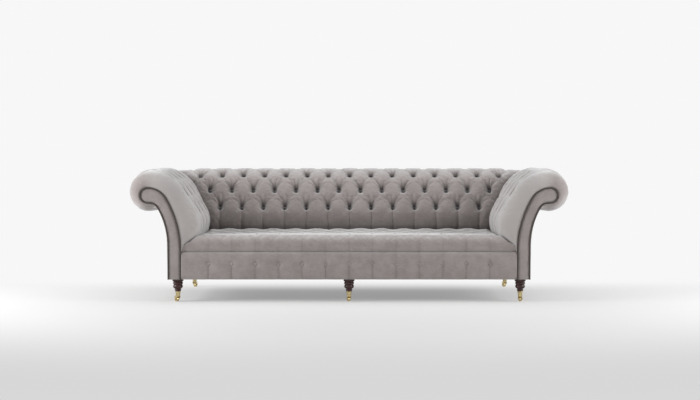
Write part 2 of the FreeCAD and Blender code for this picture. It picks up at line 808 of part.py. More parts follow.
def square_ring(side, middle_y, z):
    half = side / 2
    corners = [(-half, -half), (half, -half), (half, half), (-half, half)]
    points = [Vector(x, middle_y + y, z) for x, y in corners]
    return Part.makePolygon(points + points[:1])


def raked_leg():
    """A square tapered rear leg, leaning back to its caster, about the caster's axis."""
    top = square_ring(REAR_LEG_TOP, -REAR_LEG_RAKE, FRAME_BOTTOM)
    foot = square_ring(REAR_LEG_FOOT, 0, CUP_TOP + FIT)
    shaft = Part.makeLoft([top, foot], True, True)
    return shaft.fuse(spigot()).cut(bolt_bore_in_leg(REAR_LEG_RAKE))


def leg(name):
    x, y, rake = leg_places()[name]
    made = turned_leg() if rake == 0 else raked_leg()
    made.translate(Vector(x, y + rake, 0))
    return made


def hanger_bolts():
    low = FRAME_BOTTOM - BOLT_IN_LEG
    tall = BOLT_IN_LEG + BOLT_IN_RAIL
    feet = [Vector(x, y, low) for x, y, _ in leg_places().values()]
    return Part.makeCompound([Part.makeCylinder(BOLT_RADIUS, tall, foot) for foot in feet])


# Casters, each modelled about its own swivel axis and trailing along +Y


def caster_place(name):
    x, y, rake = leg_places()[name]
    return Placement(Vector(x, y + rake, 0), Rotation(Vector(0, 0, 1), CASTER_YAW[name]))


def caster_cup():
    """A tapered brass cup with a rolled rim and a hole for the pintle."""
    floor = CUP_Z + CUP_FLOOR
    shell = Part.makeCone(CUP_FOOT_RADIUS, CUP_MOUTH_RADIUS, CUP_HEIGHT, Vector(0, 0, CUP_Z))
    rim = Part.makeCylinder(CUP_RIM_RADIUS, CUP_RIM, Vector(0, 0, CUP_TOP - CUP_RIM))
    rim = rim.makeFillet(CUP_RIM / 3, [e for e in rim.Edges if e.Length > CUP_RIM_RADIUS])
    slope = (SPIGOT_TOP_RADIUS - SPIGOT_FOOT_RADIUS) / (CUP_TOP + FIT - SPIGOT_Z)
    low = SPIGOT_FOOT_RADIUS + FIT - slope * (SPIGOT_Z - floor)
    high = low + slope * (CUP_TOP + CUP_RIM - floor)
    hollow = Part.makeCone(low, high, CUP_TOP + CUP_RIM - floor, Vector(0, 0, floor))
    hole = Part.makeCylinder(PINTLE_RADIUS + RUNNING, CUP_HEIGHT, Vector(0, 0, CUP_Z - CUP_FLOOR))
    return shell.fuse(rim).cut([hollow, hole])


def cheek_inner():
    return WHEEL_WIDTH / 2 + 2 * FIT


def caster_fork():
    """Crown with its pintle, and two cheeks that carry the axle behind it."""
    crown_top = CROWN_Z + CROWN_THICKNESS
    inner = cheek_inner()
    outer = inner + CHEEK_THICKNESS
    eye = AXLE_RADIUS * 2.4
    axle = Vector(0, CASTER_TRAIL, WHEEL_RADIUS)
    lean = math.atan2(CROWN_Z - WHEEL_RADIUS, CASTER_TRAIL + CROWN_RADIUS)
    front = Vector(0, axle.y - eye * math.sin(lean), axle.z - eye * math.cos(lean))
    rear = Vector(0, axle.y + eye, axle.z)
    side = [
        line(Vector(0, -CROWN_RADIUS, crown_top), Vector(0, -CROWN_RADIUS, CROWN_Z)),
        line(Vector(0, -CROWN_RADIUS, CROWN_Z), front),
        Part.Arc(front, axle + Vector(0, eye * 0.7071, -eye * 0.7071), rear).toShape(),
        line(rear, Vector(0, rear.y, crown_top)),
        line(Vector(0, rear.y, crown_top), Vector(0, -CROWN_RADIUS, crown_top)),
    ]
    cheek = Part.Face(Part.Wire(side)).extrude(Vector(CHEEK_THICKNESS, 0, 0))
    right = cheek.copy()
    right.translate(Vector(inner, 0, 0))
    left = cheek.copy()
    left.translate(Vector(-outer, 0, 0))
    bridge = box((-inner, inner), (-CROWN_RADIUS, rear.y), (CROWN_Z, crown_top))
    pintle = Part.makeCylinder(PINTLE_RADIUS, CUP_Z + CUP_FLOOR + FIT - crown_top, Vector(0, 0, crown_top))
    head = Part.makeCylinder(PINTLE_HEAD_RADIUS, PINTLE_HEAD, Vector(0, 0, CUP_Z + CUP_FLOOR + FIT))
    bore_end = Vector(-outer, axle.y, axle.z)
    bore = Part.makeCylinder(AXLE_RADIUS + RUNNING / 2, 2 * outer, bore_end, Vector(1, 0, 0))
    return bridge.fuse([right, left, pintle, head]).removeSplitter().cut(bore)


def caster_axle():
    outer = cheek_inner() + CHEEK_THICKNESS + RUNNING
    along = Vector(1, 0, 0)
    middle = Vector(0, CASTER_TRAIL, WHEEL_RADIUS)
    pin = Part.makeCylinder(AXLE_RADIUS, 2 * outer, middle - along * outer, along)
    right = Part.makeCylinder(AXLE_HEAD_RADIUS, AXLE_HEAD, middle + along * outer, along)
    left = Part.makeCylinder(AXLE_HEAD_RADIUS, AXLE_HEAD, middle - along * outer, -along)
    return pin.fuse([right, left]).removeSplitter()


def caster_wheel():
    along = Vector(1, 0, 0)
    start = Vector(-WHEEL_WIDTH / 2, CASTER_TRAIL, WHEEL_RADIUS)
    tread = Part.makeCylinder(WHEEL_RADIUS, WHEEL_WIDTH, start, along)
    tread = tread.makeFillet(WHEEL_EDGE, [e for e in tread.Edges if e.Length > 4 * WHEEL_RADIUS])
    return tread.cut(Part.makeCylinder(AXLE_RADIUS + RUNNING, WHEEL_WIDTH, start, along))


def placed(shape, placement):
    moved = shape.copy()
    moved.Placement = placement.multiply(moved.Placement)
    return moved


def pair(shape):
    return Part.makeCompound([shape, mirrored(shape)])


def upholstery():
    arm, facing, piping, outside = arm_pad(), arm_facing(), facing_piping(), outside_arm()
    arm_buttons = arm_tufts() + mirrored_tufts(arm_tufts())
    return {
        "seat_pad": seat_pad(),
        "back_pad": back_pad(),
        "left_arm_pad": mirrored(arm),
        "right_arm_pad": arm,
        "front_border": front_border(),
        "left_arm_facing": mirrored(facing),
        "right_arm_facing": facing,
        "left_facing_piping": mirrored(piping),
        "right_facing_piping": piping,
        "left_outside_arm": mirrored(outside),
        "right_outside_arm": outside,
        "outside_back": outside_back(),
        "dust_cover": dust_cover(),
        "back_buttons": buttons(back_tufts(), WELL_DEPTH),
        "arm_buttons": buttons(arm_buttons, WELL_DEPTH),
        "seat_buttons": buttons(seat_tufts(), WELL_DEPTH),
        "border_buttons": buttons(border_tufts(), BORDER_WELL_DEPTH),
    }


def frame():
    return {
        "front_seat_rail": front_seat_rail(),
        "rear_seat_rail": rear_seat_rail(),
        "side_seat_rails": pair(side_seat_rail()),
        "seat_cross_rails": seat_cross_rails(),
        "corner_blocks": corner_blocks(),
        "arm_front_boards": pair(arm_front_board()),
        "arm_rear_boards": pair(arm_rear_board()),
        "arm_top_rails": pair(arm_rail(top_rail_section())),
        "arm_stuffing_rails": pair(arm_rail(stuffing_rail_section())),
        "back_uprights": back_uprights(),
        "back_top_rails": back_rails(top_rail_section()),
        "back_stuffing_rails": back_rails(stuffing_rail_section()),
        "arm_hessian": pair(arm_hessian()),
        "back_hessian": back_length(hessian_face()),
        "seat_springs": repeated(zigzag_spring(), spring_places()),
        "spring_clips": spring_clips(),
        "seat_deck_cloth": deck_cloth(),
        "leg_hanger_bolts": hanger_bolts(),
    }


def legs_and_casters():
    pieces = {}
    cups = []
    for name in leg_places():
        place = caster_place(name)
        pieces[name + "_leg"] = leg(name)
        pieces[name + "_caster_fork"] = placed(caster_fork(), place)
        pieces[name + "_caster_axle"] = placed(caster_axle(), place)
        pieces[name + "_caster_wheel"] = placed(caster_wheel(), place)
        cups.append(placed(caster_cup(), place))
    pieces["caster_cups"] = Part.makeCompound(cups)
    return pieces


def main():
    os.makedirs("parts", exist_ok=True)
    for name, shape in {**upholstery(), **frame(), **legs_and_casters()}.items():
        shape.exportStep(os.path.join("parts", name + ".step"))
        state = "valid" if shape.isValid() else "INVALID"
        print(name, len(shape.Solids), "solids", round(shape.Volume), "mm3", state)


main()
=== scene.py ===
import json
import math

import bmesh
import bpy
import numpy as np
from mathutils import Matrix, Vector

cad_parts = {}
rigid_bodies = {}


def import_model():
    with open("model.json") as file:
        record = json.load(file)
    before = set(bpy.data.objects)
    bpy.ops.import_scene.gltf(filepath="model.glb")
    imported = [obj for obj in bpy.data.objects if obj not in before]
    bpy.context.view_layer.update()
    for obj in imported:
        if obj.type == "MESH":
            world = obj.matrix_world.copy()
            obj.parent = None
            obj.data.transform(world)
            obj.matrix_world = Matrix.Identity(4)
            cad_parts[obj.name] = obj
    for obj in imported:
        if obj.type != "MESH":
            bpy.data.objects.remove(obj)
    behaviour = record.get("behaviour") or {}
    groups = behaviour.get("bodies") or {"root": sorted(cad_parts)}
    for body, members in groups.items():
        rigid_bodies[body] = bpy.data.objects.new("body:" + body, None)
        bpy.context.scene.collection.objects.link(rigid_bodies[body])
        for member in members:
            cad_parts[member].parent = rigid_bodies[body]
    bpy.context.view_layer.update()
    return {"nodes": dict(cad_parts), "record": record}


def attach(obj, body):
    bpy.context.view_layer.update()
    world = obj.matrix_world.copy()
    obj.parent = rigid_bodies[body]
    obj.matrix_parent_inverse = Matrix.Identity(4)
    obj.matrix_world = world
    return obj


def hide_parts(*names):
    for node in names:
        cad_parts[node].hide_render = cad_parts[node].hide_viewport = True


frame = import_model()
bpy.ops.object.select_all(action="DESELECT")

# Sizes are in millimetres and become metres when a mesh is made.
MM = 0.001
SOFA = "sofa"

# The scroll section: o runs outwards from the outside cover, z up from the floor.
PANEL_X = 1085.0
PANEL_Y = 272.0
FRONT_Y = -495.0
FRAME_BOTTOM = 138.0
SEAM_Z = 302.0
SEAT_Z = 400.0
ROLL_TOP = 774.0
ROLL_O = 116.0
ROLL_RADIUS = 112.0
SHOULDER_RADIUS = 225.0
SLOPE_ANGLE = 150.0
SLOPE_LENGTH = 152.0
BELLY_RADIUS = 160.0
BEVEL_Z = 395.0
TUCK_RISE = 1.0
UNDER_O = 50.5
UNDER_RISE = 2.0
CORE_THICKNESS = 82.0
CORE_END = 150.0
CORE_PROUD = 1.5
LINING_INSET = 2.5
HEAD_RADIUS = 49.0
HEAD_PADDING = 83.0
HEAD_TOP = ROLL_TOP - HEAD_PADDING
NECK_RADIUS = 130.0
NOOK_RADIUS = 48.0
NOOK_RUN = 14.0

# Places of the buttons
COLUMN = 140.0
ROW = 123.0
FIRST_ROW = 0.0
ROWS = 4
PLAIN_BAND = 170.0
CORNER_MARGIN = 70.0
SEAT_ROW = 112.0
SEAT_FIRST_ROW = 130.0
SEAT_ROWS = 4
SEAT_MARGIN = 60.0
BORDER_BUTTON_RISE = 93.0
BORDER_BUTTON_Z = FRAME_BOTTOM + BORDER_BUTTON_RISE
BORDER_MARGIN = 130.0

# Spacing of the points that lines and covers are made of
ARC_STEP = 0.5
ARC_LEAST = 4
STEP = 5.5
RUN_STEPS = (6, 40, 47, 30, 22, 6)
LEAST = 1e-6


# Lines of the scroll section


def turn(centre, radius, start, end):
    """Points round an arc, from one angle to another in degrees."""
    count = max(int(abs(math.radians(end - start)) * radius / ARC_STEP), ARC_LEAST)
    angle = np.radians(np.linspace(start, end, count + 1))
    return np.stack([centre[0] + radius * np.cos(angle), centre[1] + radius * np.sin(angle)], 1)


def straight(start, end):
    return np.array([start, end], float)


def arc_end(centre, radius, degrees):
    angle = math.radians(degrees)
    return (centre[0] + radius * math.cos(angle), centre[1] + radius * math.sin(angle))


def steps_of(points):
    return np.linalg.norm(np.diff(points, axis=0), axis=1)


def run_of(points):
    """How far each point lies along a line of points."""
    return np.concatenate([[0.0], np.cumsum(steps_of(points))])


def along(points, count):
    """Points spread evenly along a line of points."""
    run = run_of(points)
    lengths = np.linspace(0.0, run[-1], count)
    return np.stack([np.interp(lengths, run, points[:, k]) for k in range(points.shape[1])], 1)


def length_of(points):
    return float(steps_of(points).sum())


def even(low, high, step=STEP):
    return np.linspace(low, high, int(round((high - low) / step)) + 1)


ROLL_AT = (ROLL_O, ROLL_TOP - ROLL_RADIUS)
SHOULDER_AT = (ROLL_O, ROLL_TOP - SHOULDER_RADIUS)
SLOPE_FROM = arc_end(SHOULDER_AT, SHOULDER_RADIUS, SLOPE_ANGLE)
BELLY_FROM = arc_end(SLOPE_FROM, SLOPE_LENGTH, SLOPE_ANGLE + 90)
BELLY_AT = arc_end(BELLY_FROM, -BELLY_RADIUS, SLOPE_ANGLE)
BELLY_END = 180 - math.degrees(math.asin((BEVEL_Z - BELLY_AT[1]) / BELLY_RADIUS))
BELLY_FOOT = arc_end(BELLY_AT, BELLY_RADIUS, BELLY_END)
HEAD_AT = (ROLL_O, HEAD_TOP - HEAD_RADIUS)
NECK_AT = (ROLL_O, HEAD_TOP - NECK_RADIUS)
NECK_TO = arc_end(NECK_AT, NECK_RADIUS, CORE_END)
CORE_SHARE = 1 + math.cos(math.radians(CORE_END))
SWEEP_RADIUS = (NECK_TO[0] + CORE_THICKNESS) / CORE_SHARE
SWEEP_AT = arc_end(NECK_TO, -SWEEP_RADIUS, CORE_END)
NOOK_AT = (ROLL_O - NOOK_RUN, HEAD_TOP - 2 * HEAD_RADIUS - NOOK_RADIUS)
NOOK_TO = arc_end(NOOK_AT, NOOK_RADIUS, CORE_END)
FLARE_RADIUS = NOOK_TO[0] / CORE_SHARE
FLARE_AT = arc_end(NOOK_TO, -FLARE_RADIUS, CORE_END)


def skin_runs():
    """The padding's outside: under the roll, roll, shoulder, slope, belly and tuck-in."""
    roll_low = (ROLL_O, ROLL_TOP - 2 * ROLL_RADIUS)
    return [
        straight((UNDER_O, roll_low[1] + UNDER_RISE), roll_low),
        turn(ROLL_AT, ROLL_RADIUS, -90, 90),
        turn(SHOULDER_AT, SHOULDER_RADIUS, 90, SLOPE_ANGLE),
        straight(SLOPE_FROM, BELLY_FROM),
        turn(BELLY_AT, BELLY_RADIUS, SLOPE_ANGLE, BELLY_END),
        straight(BELLY_FOOT, (-CORE_THICKNESS, SEAM_Z + TUCK_RISE)),
    ]


def core_runs(proud):
    """The scroll board's outline in the same six runs, a little proud of it or inside it."""
    under = turn(NOOK_AT, NOOK_RADIUS - proud, CORE_END, 90)
    head_low = arc_end(HEAD_AT, HEAD_RADIUS + proud, -90)
    foot = (-CORE_THICKNESS - proud, SEAM_Z + TUCK_RISE)
    sweep = np.concatenate([turn(SWEEP_AT, SWEEP_RADIUS + proud, CORE_END, 180), [foot]])
    low, lower = np.argmax(sweep[:, 1] < BELLY_FROM[1]), np.argmax(sweep[:, 1] < BEVEL_Z)
    return [
        np.concatenate([under, [head_low]]),
        turn(HEAD_AT, HEAD_RADIUS + proud, -90, 90),
        turn(NECK_AT, NECK_RADIUS + proud, 90, CORE_END),
        sweep[: low + 1],
        sweep[low : lower + 1],
        sweep[lower:],
    ]


def sampled(runs):
    """One line of points through all the runs, each run divided evenly."""
    rows = [along(run, count + 1)[:-1] for run, count in zip(runs, RUN_STEPS)]
    return np.concatenate(rows + [runs[-1][-1:]])


def outward(points):
    """Unit normals of a section line, on the right of its travel."""
    along_line = np.gradient(points, axis=0)
    normal = np.stack([along_line[:, 1], -along_line[:, 0]], 1)
    return normal / np.linalg.norm(normal, axis=1)[:, None]


# The padding's line, its length down from the roll's top, and its normals
SKIN = sampled(skin_runs())
SKIN_S = run_of(SKIN) - sum(length_of(run) for run in skin_runs()[:2])
SKIN_OUT = outward(SKIN)
LINING = sampled(core_runs(-LINING_INSET))


# Buttoned padding

LATTICE = 64
LATTICE_FROM = (17.3, 5.1)
FAR = 1e4
PLAIN = 5.0
WELL_RADIUS = 19.0
WELL_POWER = 3
WELL_BELOW = 0.9
DOME_POWER = 2.3
PLEAT_WIDTH = 5.0
PLEAT_LEAST = 0.6
PLEAT_SWAY = 0.025
PLEAT_SWAY_SIZE = 45.0
LAP = 1.4
LAP_WIDTH = 14.0
GRIP = 0.3
LAST_GRIP = 0.4
ROW_SHARE = (0.1, 0.8)
TRAIL_RUN = (0.0, 75.0)
PUFF = 3.0
PUFF_DROP = 27.0
PUFF_TALL = 12.0
PUFF_WIDE = 24.0
FAN_PITCH = 34.0
FAN_REACH = 42.0
FAN_SWAY = 2.0
FAN_SWAY_SIZE = 50.0
FAN_SPREAD = (70.0, 40.0)
FAN_FROM = (12.0, 26.0)
FINE_CREASE = 0.6
FINE_SIZE = 24.0
BROAD_CREASE = 1.5
BROAD_SIZE = 75.0
CREASE_FROM = (8.0, 40.0)
# Painted shade along the pleats and in the fans' creases
PLEAT_SHADE = 0.5
FAN_SHADE = 0.12


def eased(share):
    return share * share * (3 - 2 * share)


def smooth(low, high, value):
    """Rises gently from 0 to 1 between two values, or falls where the first is the higher."""
    return eased(np.clip((value - low) / (high - low), 0.0, 1.0))


def ripple(x, y, size, seed):
    """Soft irregular waves from a seeded lattice, between -1 and 1."""
    grid = np.random.default_rng(seed).uniform(-1, 1, (LATTICE, LATTICE))
    gx, gy = x / size + LATTICE_FROM[0], y / size + LATTICE_FROM[1]
    ix, iy = np.floor(gx).astype(int), np.floor(gy).astype(int)
    fx, fy = eased(gx - ix), eased(gy - iy)
    near_x, far_x = ix % LATTICE, (ix + 1) % LATTICE
    near_y, far_y = iy % LATTICE, (iy + 1) % LATTICE
    low = grid[near_x, near_y] * (1 - fx) + grid[far_x, near_y] * fx
    high = grid[near_x, far_y] * (1 - fx) + grid[far_x, far_y] * fx
    return low * (1 - fy) + high * fy


def off_column(x):
    """How far a place lies from the nearest column of buttons."""
    return (x / COLUMN - np.round(x / COLUMN)) * COLUMN


class Buttoning:
    """Rows of buttons on a diamond pattern, with a pleat from each button to its neighbours."""

    def __init__(self, row, first, rows, shift, top, dome, pleat, well, fan, trailing, crest, rise, droop):
        self.row, self.first, self.rows, self.shift = row, first, rows, shift
        self.top, self.dome, self.pleat, self.well, self.fan = top, dome, pleat, well, fan
        self.trailing, self.crest, self.rise, self.droop = trailing, crest, rise, droop
        self.spacing = COLUMN * row / math.hypot(COLUMN / 2, row)

    def nearest(self, u, s):
        """Offsets across and down from the nearest button."""
        across, down = np.full((2, *np.broadcast(u, s).shape), FAR)
        for row in range(self.rows):
            place = u / COLUMN - self.shift - (row % 2) / 2
            du, ds = (place - np.round(place)) * COLUMN, s - self.first - row * self.row
            closer = np.hypot(du, ds) < np.hypot(across, down)
            across, down = np.where(closer, du, across), np.where(closer, ds, down)
        return across, down

    def pillowed(self, u, s, k, crest, seed):
        """The cover's height between its pleats, and how near a point is to one; k counts the rows."""
        held = np.clip(k, 0, self.rows - 1)
        sway = PLEAT_SWAY * ripple(u, s, PLEAT_SWAY_SIZE, seed + 3)
        offsets = [u / COLUMN - self.shift + slant * held + sway for slant in (0.5, -0.5)]
        offsets = [place - np.round(place) for place in offsets]
        near = [1 - 2 * np.abs(place) for place in offsets]
        below_row = smooth(*ROW_SHARE, held - np.floor(held))
        grip = np.where(k < 0, 1.0, np.where(k > self.rows - 1, LAST_GRIP, below_row))
        grip = GRIP + (1 - GRIP) * grip
        trail = smooth(*TRAIL_RUN, np.abs(k - held) * self.row)
        fade = (1 - (1 - self.trailing) * trail) * crest * grip
        height = self.top - self.dome * (near[0] ** DOME_POWER + near[1] ** DOME_POWER) * fade
        lines = 0.0
        for place, other, upper in zip(offsets, near[::-1], (-1, 1)):
            apart = np.abs(place) * self.spacing
            line = np.exp(-apart / PLEAT_WIDTH) * (PLEAT_LEAST + (1 - PLEAT_LEAST) * other**2) * fade
            lap = np.sign(place) * upper * np.exp(-apart / LAP_WIDTH) * fade
            height += LAP * lap - self.pleat * line
            lines = np.maximum(lines, line)
        return height, lines

    def fanned(self, u, s, across, down, seed):
        """Short creases that spread upwards from each button."""
        distance = np.hypot(across, down)
        turned = np.degrees(np.arctan2(across, -down))
        sway = FAN_SWAY * ripple(u, s, FAN_SWAY_SIZE, seed)
        spokes = np.cos(np.radians(360 / FAN_PITCH) * turned + sway) * smooth(*FAN_SPREAD, np.abs(turned))
        reach = distance / FAN_REACH
        return spokes * reach * np.exp(1 - reach) * smooth(*FAN_FROM, distance)

    def cover(self, u, s, seed, strength=1.0, fullness=1.0):
        """How far the cover stands off the padding's line, and how deep in a fold it lies, from 0 to 1,
        which also sets the painted shade.
        """
        across, down = self.nearest(u, s)
        sunk = down - self.droop
        stretched = np.hypot(across, sunk / np.where(sunk < 0, self.rise, WELL_BELOW))
        pocket = np.exp(-((stretched / WELL_RADIUS) ** WELL_POWER))
        k = (s - self.first) / self.row
        crest = self.crest + (1 - self.crest) * smooth(*ROW_SHARE, k)
        height, lines = self.pillowed(u, s, k, crest, seed)
        puff = np.exp(-(((sunk - PUFF_DROP) / PUFF_TALL) ** 2) - (across / PUFF_WIDE) ** 2)
        height += PUFF * puff * crest
        fan = self.fanned(u, s, across, down, seed) * crest
        height += self.fan * fan
        creases = FINE_CREASE * ripple(u, s, FINE_SIZE, seed + 1)
        creases = creases + BROAD_CREASE * ripple(u, s, BROAD_SIZE, seed + 2)
        pillow = (height - PLAIN) * fullness - self.well * pocket * crest
        # The fold value also sets the painted shade in the wells, pleats and fans
        shade = PLEAT_SHADE * lines + FAN_SHADE * self.fan * np.maximum(-fan, 0.0)
        fold = np.clip(pocket * crest + shade * fullness, 0.0, 1.0)
        height = PLAIN + pillow * strength + creases * smooth(*CREASE_FROM, np.hypot(across, down))
        return height, fold * strength


FACE_FORM = {"top": 11.0, "dome": 5.5, "pleat": 5.0, "well": 26.0, "fan": 3.0}
FACE_FALL = {"trailing": 0.8, "crest": 0.3, "rise": 2.1, "droop": 11.0}
SEAT_FORM = {"top": -2.0, "dome": 4.5, "pleat": 2.0, "well": 8.0, "fan": 0.0}
SEAT_FALL = {"trailing": 0.3, "crest": 0.1, "rise": 1.0, "droop": 0.0}
FACE_BUTTONS = Buttoning(ROW, FIRST_ROW, ROWS, 0.5, **FACE_FORM, **FACE_FALL)
SEAT_BUTTONS = Buttoning(SEAT_ROW, SEAT_FIRST_ROW, SEAT_ROWS, 0.0, **SEAT_FORM, **SEAT_FALL)


# Meshes


def grid_of(index):
    """Four-cornered faces over a grid of point numbers."""
    corners = (index[:-1, :-1], index[:-1, 1:], index[1:, 1:], index[1:, :-1])
    return np.stack([corner.ravel() for corner in corners], 1).tolist()


def finished(name, points, faces):
    """A new piece from points in millimetres, its faces turned outwards."""
    mesh = bpy.data.meshes.new(name)
    mesh.from_pydata((np.asarray(points) * MM).tolist(), [], faces)
    piece = bpy.data.objects.new(name, mesh)
    bpy.context.scene.collection.objects.link(piece)
    shape = bmesh.new()
    shape.from_mesh(mesh)
    bmesh.ops.recalc_face_normals(shape, faces=shape.faces)
    shape.to_mesh(mesh)
    shape.free()
    mesh.shade_smooth()
    return piece


def ring_of(name, rows):
    """A closed piece: each row of points runs along it, the rows go round it, and both ends are capped."""
    rows = np.asarray(rows)
    index = np.arange(rows.shape[0] * rows.shape[1]).reshape(rows.shape[:2])
    faces = grid_of(np.concatenate([index, index[:1]]))
    return finished(name, rows.reshape(-1, 3), faces + [index[:, 0].tolist(), index[::-1, -1].tolist()])


def with_painted_shading(piece, fold):
    """Keeps how deep each cover point lies in a fold, from which the finish paints shade; below 0 it paints
    light instead.
    """
    depths = np.zeros(len(piece.data.vertices))
    depths[: fold.size] = fold.ravel()
    piece.data.attributes.new("fold", "FLOAT", "POINT").data.foreach_set("value", depths)
    return piece


def shell(name, skin, inner):
    """A closed piece: a grid of cover points, and a plainer inner face with the same rows."""
    rows, columns = skin.shape[:2]
    outer = np.arange(rows * columns).reshape(rows, columns)
    within = outer.size + np.arange(rows * inner.shape[1]).reshape(rows, -1)
    faces = grid_of(outer) + grid_of(within)
    for end in (0, -1):
        faces += grid_of(np.stack([outer[:, end], within[:, end]]))
        if inner.shape[1] == columns:
            faces += grid_of(np.stack([outer[end], within[end]]))
        else:
            faces.append([*outer[end].tolist(), *within[end, ::-1].tolist()])
    return finished(name, np.concatenate([skin.reshape(-1, 3), inner.reshape(-1, 3)]), faces)


# Settling of the covers

SETTLE_FRAMES = 14
SETTLE_CAP = 6.0
SETTLE_STRIDE = 2
SETTLE_PRESSURE = 3.0
SETTLE_SHRINK = -0.012
HELD_FOLD = 1.5
HELD_ROWS = 16
HELD_COLUMNS = 12


def between(count, picks):
    """Shares that carry values at the picked places to every place between them."""
    return np.array([np.interp(np.arange(count), picks, one) for one in np.eye(len(picks))]).T


def firmness(fold):
    """How firmly a cover is held, from 0 to 1: at its edges, its buttons and its pleats."""
    down, across = (np.minimum(np.arange(count), np.arange(count)[::-1]) for count in fold.shape)
    ends = smooth(HELD_ROWS, HELD_ROWS / 2, down)[:, None]
    sides = smooth(HELD_COLUMNS, HELD_COLUMNS / 2, across)
    return np.maximum(np.clip(HELD_FOLD * fold, 0, 1), np.maximum(ends, sides))


def settled(skin, fold, turned):
    """A cover after a short cloth simulation: swelled by its padding where it isn't held."""
    hold = firmness(fold)
    picks = [np.unique(np.append(np.arange(0, count, SETTLE_STRIDE), count - 1)) for count in hold.shape]
    start = skin[np.ix_(*picks)].reshape(-1, 3)
    index = np.arange(len(start)).reshape([len(places) for places in picks])
    mesh = bpy.data.meshes.new("cover")
    mesh.from_pydata((start * MM).tolist(), [], grid_of(index[:, ::turned]))
    sheet = bpy.data.objects.new("cover", mesh)
    bpy.context.scene.collection.objects.link(sheet)
    held = sheet.vertex_groups.new(name="held")
    for number, weight in enumerate(hold[np.ix_(*picks)].ravel().tolist()):
        held.add([number], weight, "REPLACE")
    cloth = sheet.modifiers.new("cloth", "CLOTH")
    cloth.settings.vertex_group_mass = held.name
    cloth.settings.use_pressure = True
    cloth.settings.uniform_pressure_force = SETTLE_PRESSURE
    cloth.settings.shrink_min = SETTLE_SHRINK
    cloth.settings.effector_weights.gravity = 0.0
    cloth.collision_settings.use_collision = False
    cloth.point_cache.frame_end = SETTLE_FRAMES
    for frame_number in range(1, SETTLE_FRAMES + 1):
        bpy.context.scene.frame_set(frame_number)
    result = sheet.evaluated_get(bpy.context.evaluated_depsgraph_get()).data
    places = np.empty(start.size, dtype=np.float32)
    result.vertices.foreach_get("co", places)
    bpy.data.objects.remove(sheet)
    moved = places.reshape(-1, 3) / MM - start
    moved *= np.minimum(1.0, SETTLE_CAP / np.maximum(np.linalg.norm(moved, axis=1, keepdims=True), LEAST))
    moved = moved.reshape(*index.shape, 3)
    down, across = (between(count, places) for count, places in zip(hold.shape, picks))
    return skin + np.einsum("ij,jkc,lk->ilc", down, moved, across, optimize=True)


# Cushions

CORNER_ROUND = 0.55
CORNER_BAND = 60.0
CORNER_STEPS = 60
CORNER_DIP = 13.0
DIP_RUN = (230.0, 70.0)
DIP_ROUND = (190.0, 60.0)
MITRE_FOLD = 11.0
MITRE_WIDTH = 14.0
TACK_SLACK = 1.0
UNDER_TACK = 70.0
LOW_TACK = 60.0
FACE_LOW = BELLY_FOOT[0]


def drawn_out(fixed, high_end, steps, both=False):
    """Columns along a piece: the fixed ones, then some drawn out to each row's own end."""
    share = np.linspace(0, 1, steps + 1)[1:]
    middle = np.broadcast_to(fixed, (len(high_end), len(fixed)))
    high = fixed[-1] + share * (high_end[..., None] - fixed[-1])
    if not both:
        return np.concatenate([middle, high], 1)
    return np.concatenate([-high[:, ::-1], middle, high], 1)


def drawn_to(columns, high_end, fixed_end):
    """The same columns for ends that have moved a little, as the cover swells."""
    old_end = columns.max(1, keepdims=True)
    share = np.clip((columns - fixed_end) / (old_end - fixed_end), 0.0, 1.0)
    return np.where(columns > fixed_end, fixed_end + share * (high_end - fixed_end), columns)


def rounded_corner(run, out, reach, least=LEAST):
    """Rounds the outer rear corner in plan: (place along the piece, place outwards)."""
    radius = np.maximum(CORNER_ROUND * out, 0.0) + least
    near = np.clip(1 - (reach - run) / radius, 0.0, 1.0)
    angle = near * math.pi / 4
    bent = np.where(near > 0, reach - radius + radius * np.sin(angle), run)
    return bent, out - radius * (1 - np.cos(angle))


def edge_hold(s):
    """Draws the cover down where it is tacked under the roll and behind the seat."""
    under, low = SKIN_S[0], SKIN_S[-1]
    return smooth(under - TACK_SLACK, under + UNDER_TACK, s) * smooth(low + TACK_SLACK, low - LOW_TACK, s)


def corner_fall(mitre, s):
    """How far the covers sink where an arm meets the back: a fold at the mitre and a dip of the rolls."""
    fold = MITRE_FOLD * np.exp(-mitre / MITRE_WIDTH) * edge_hold(s)
    return fold + CORNER_DIP * smooth(*DIP_RUN, mitre) * smooth(*DIP_ROUND, np.abs(s))


BACK_SEED = 11
# Painted shade over the lower back, and a painted shadow in the crease along the seat
BELLY_SHADE = 0.3
BELLY_RUN = (320.0, 480.0)
CREASE_SHADE = 0.8
CREASE_RUN = (250.0, 300.0)
CREASE_HIGH = SEAT_Z + 48.0
CREASE_LOW = SEAT_Z + 6.0


def back_cushion():
    """The back's padding, buttoned all over and mitred to the arms at both ends."""
    inner = PANEL_X + FACE_LOW - CORNER_BAND
    u = drawn_out(even(-inner, inner), PANEL_X + SKIN[:, 0], CORNER_STEPS, both=True)
    s = SKIN_S[:, None] + 0 * u
    height, fold = FACE_BUTTONS.cover(u, s, BACK_SEED)
    height *= edge_hold(s)
    height -= corner_fall(PANEL_X + SKIN[:, :1] - np.abs(u), s)
    out = SKIN[:, :1] + height * SKIN_OUT[:, :1]
    z = SKIN[:, 1:] + height * SKIN_OUT[:, 1:]
    ends = PANEL_X + out
    run, out = rounded_corner(drawn_to(np.abs(u), ends, inner), out, ends)
    skin = settled(np.stack([np.sign(u) * run, PANEL_Y + out, z], 2), fold, -1)
    lining = [[(end * (PANEL_X + o), PANEL_Y + o, z) for end in (-1, 1)] for o, z in LINING]
    # Painted shade over the lower back and a painted shadow in the crease along the seat
    tucked = CREASE_SHADE * smooth(CREASE_HIGH, CREASE_LOW, SKIN[:, 1:]) * smooth(*CREASE_RUN, s)
    fold = np.maximum(fold, np.maximum(BELLY_SHADE * smooth(*BELLY_RUN, s), tucked))
    return with_painted_shading(shell("back_cushion", skin, np.array(lining)), fold)


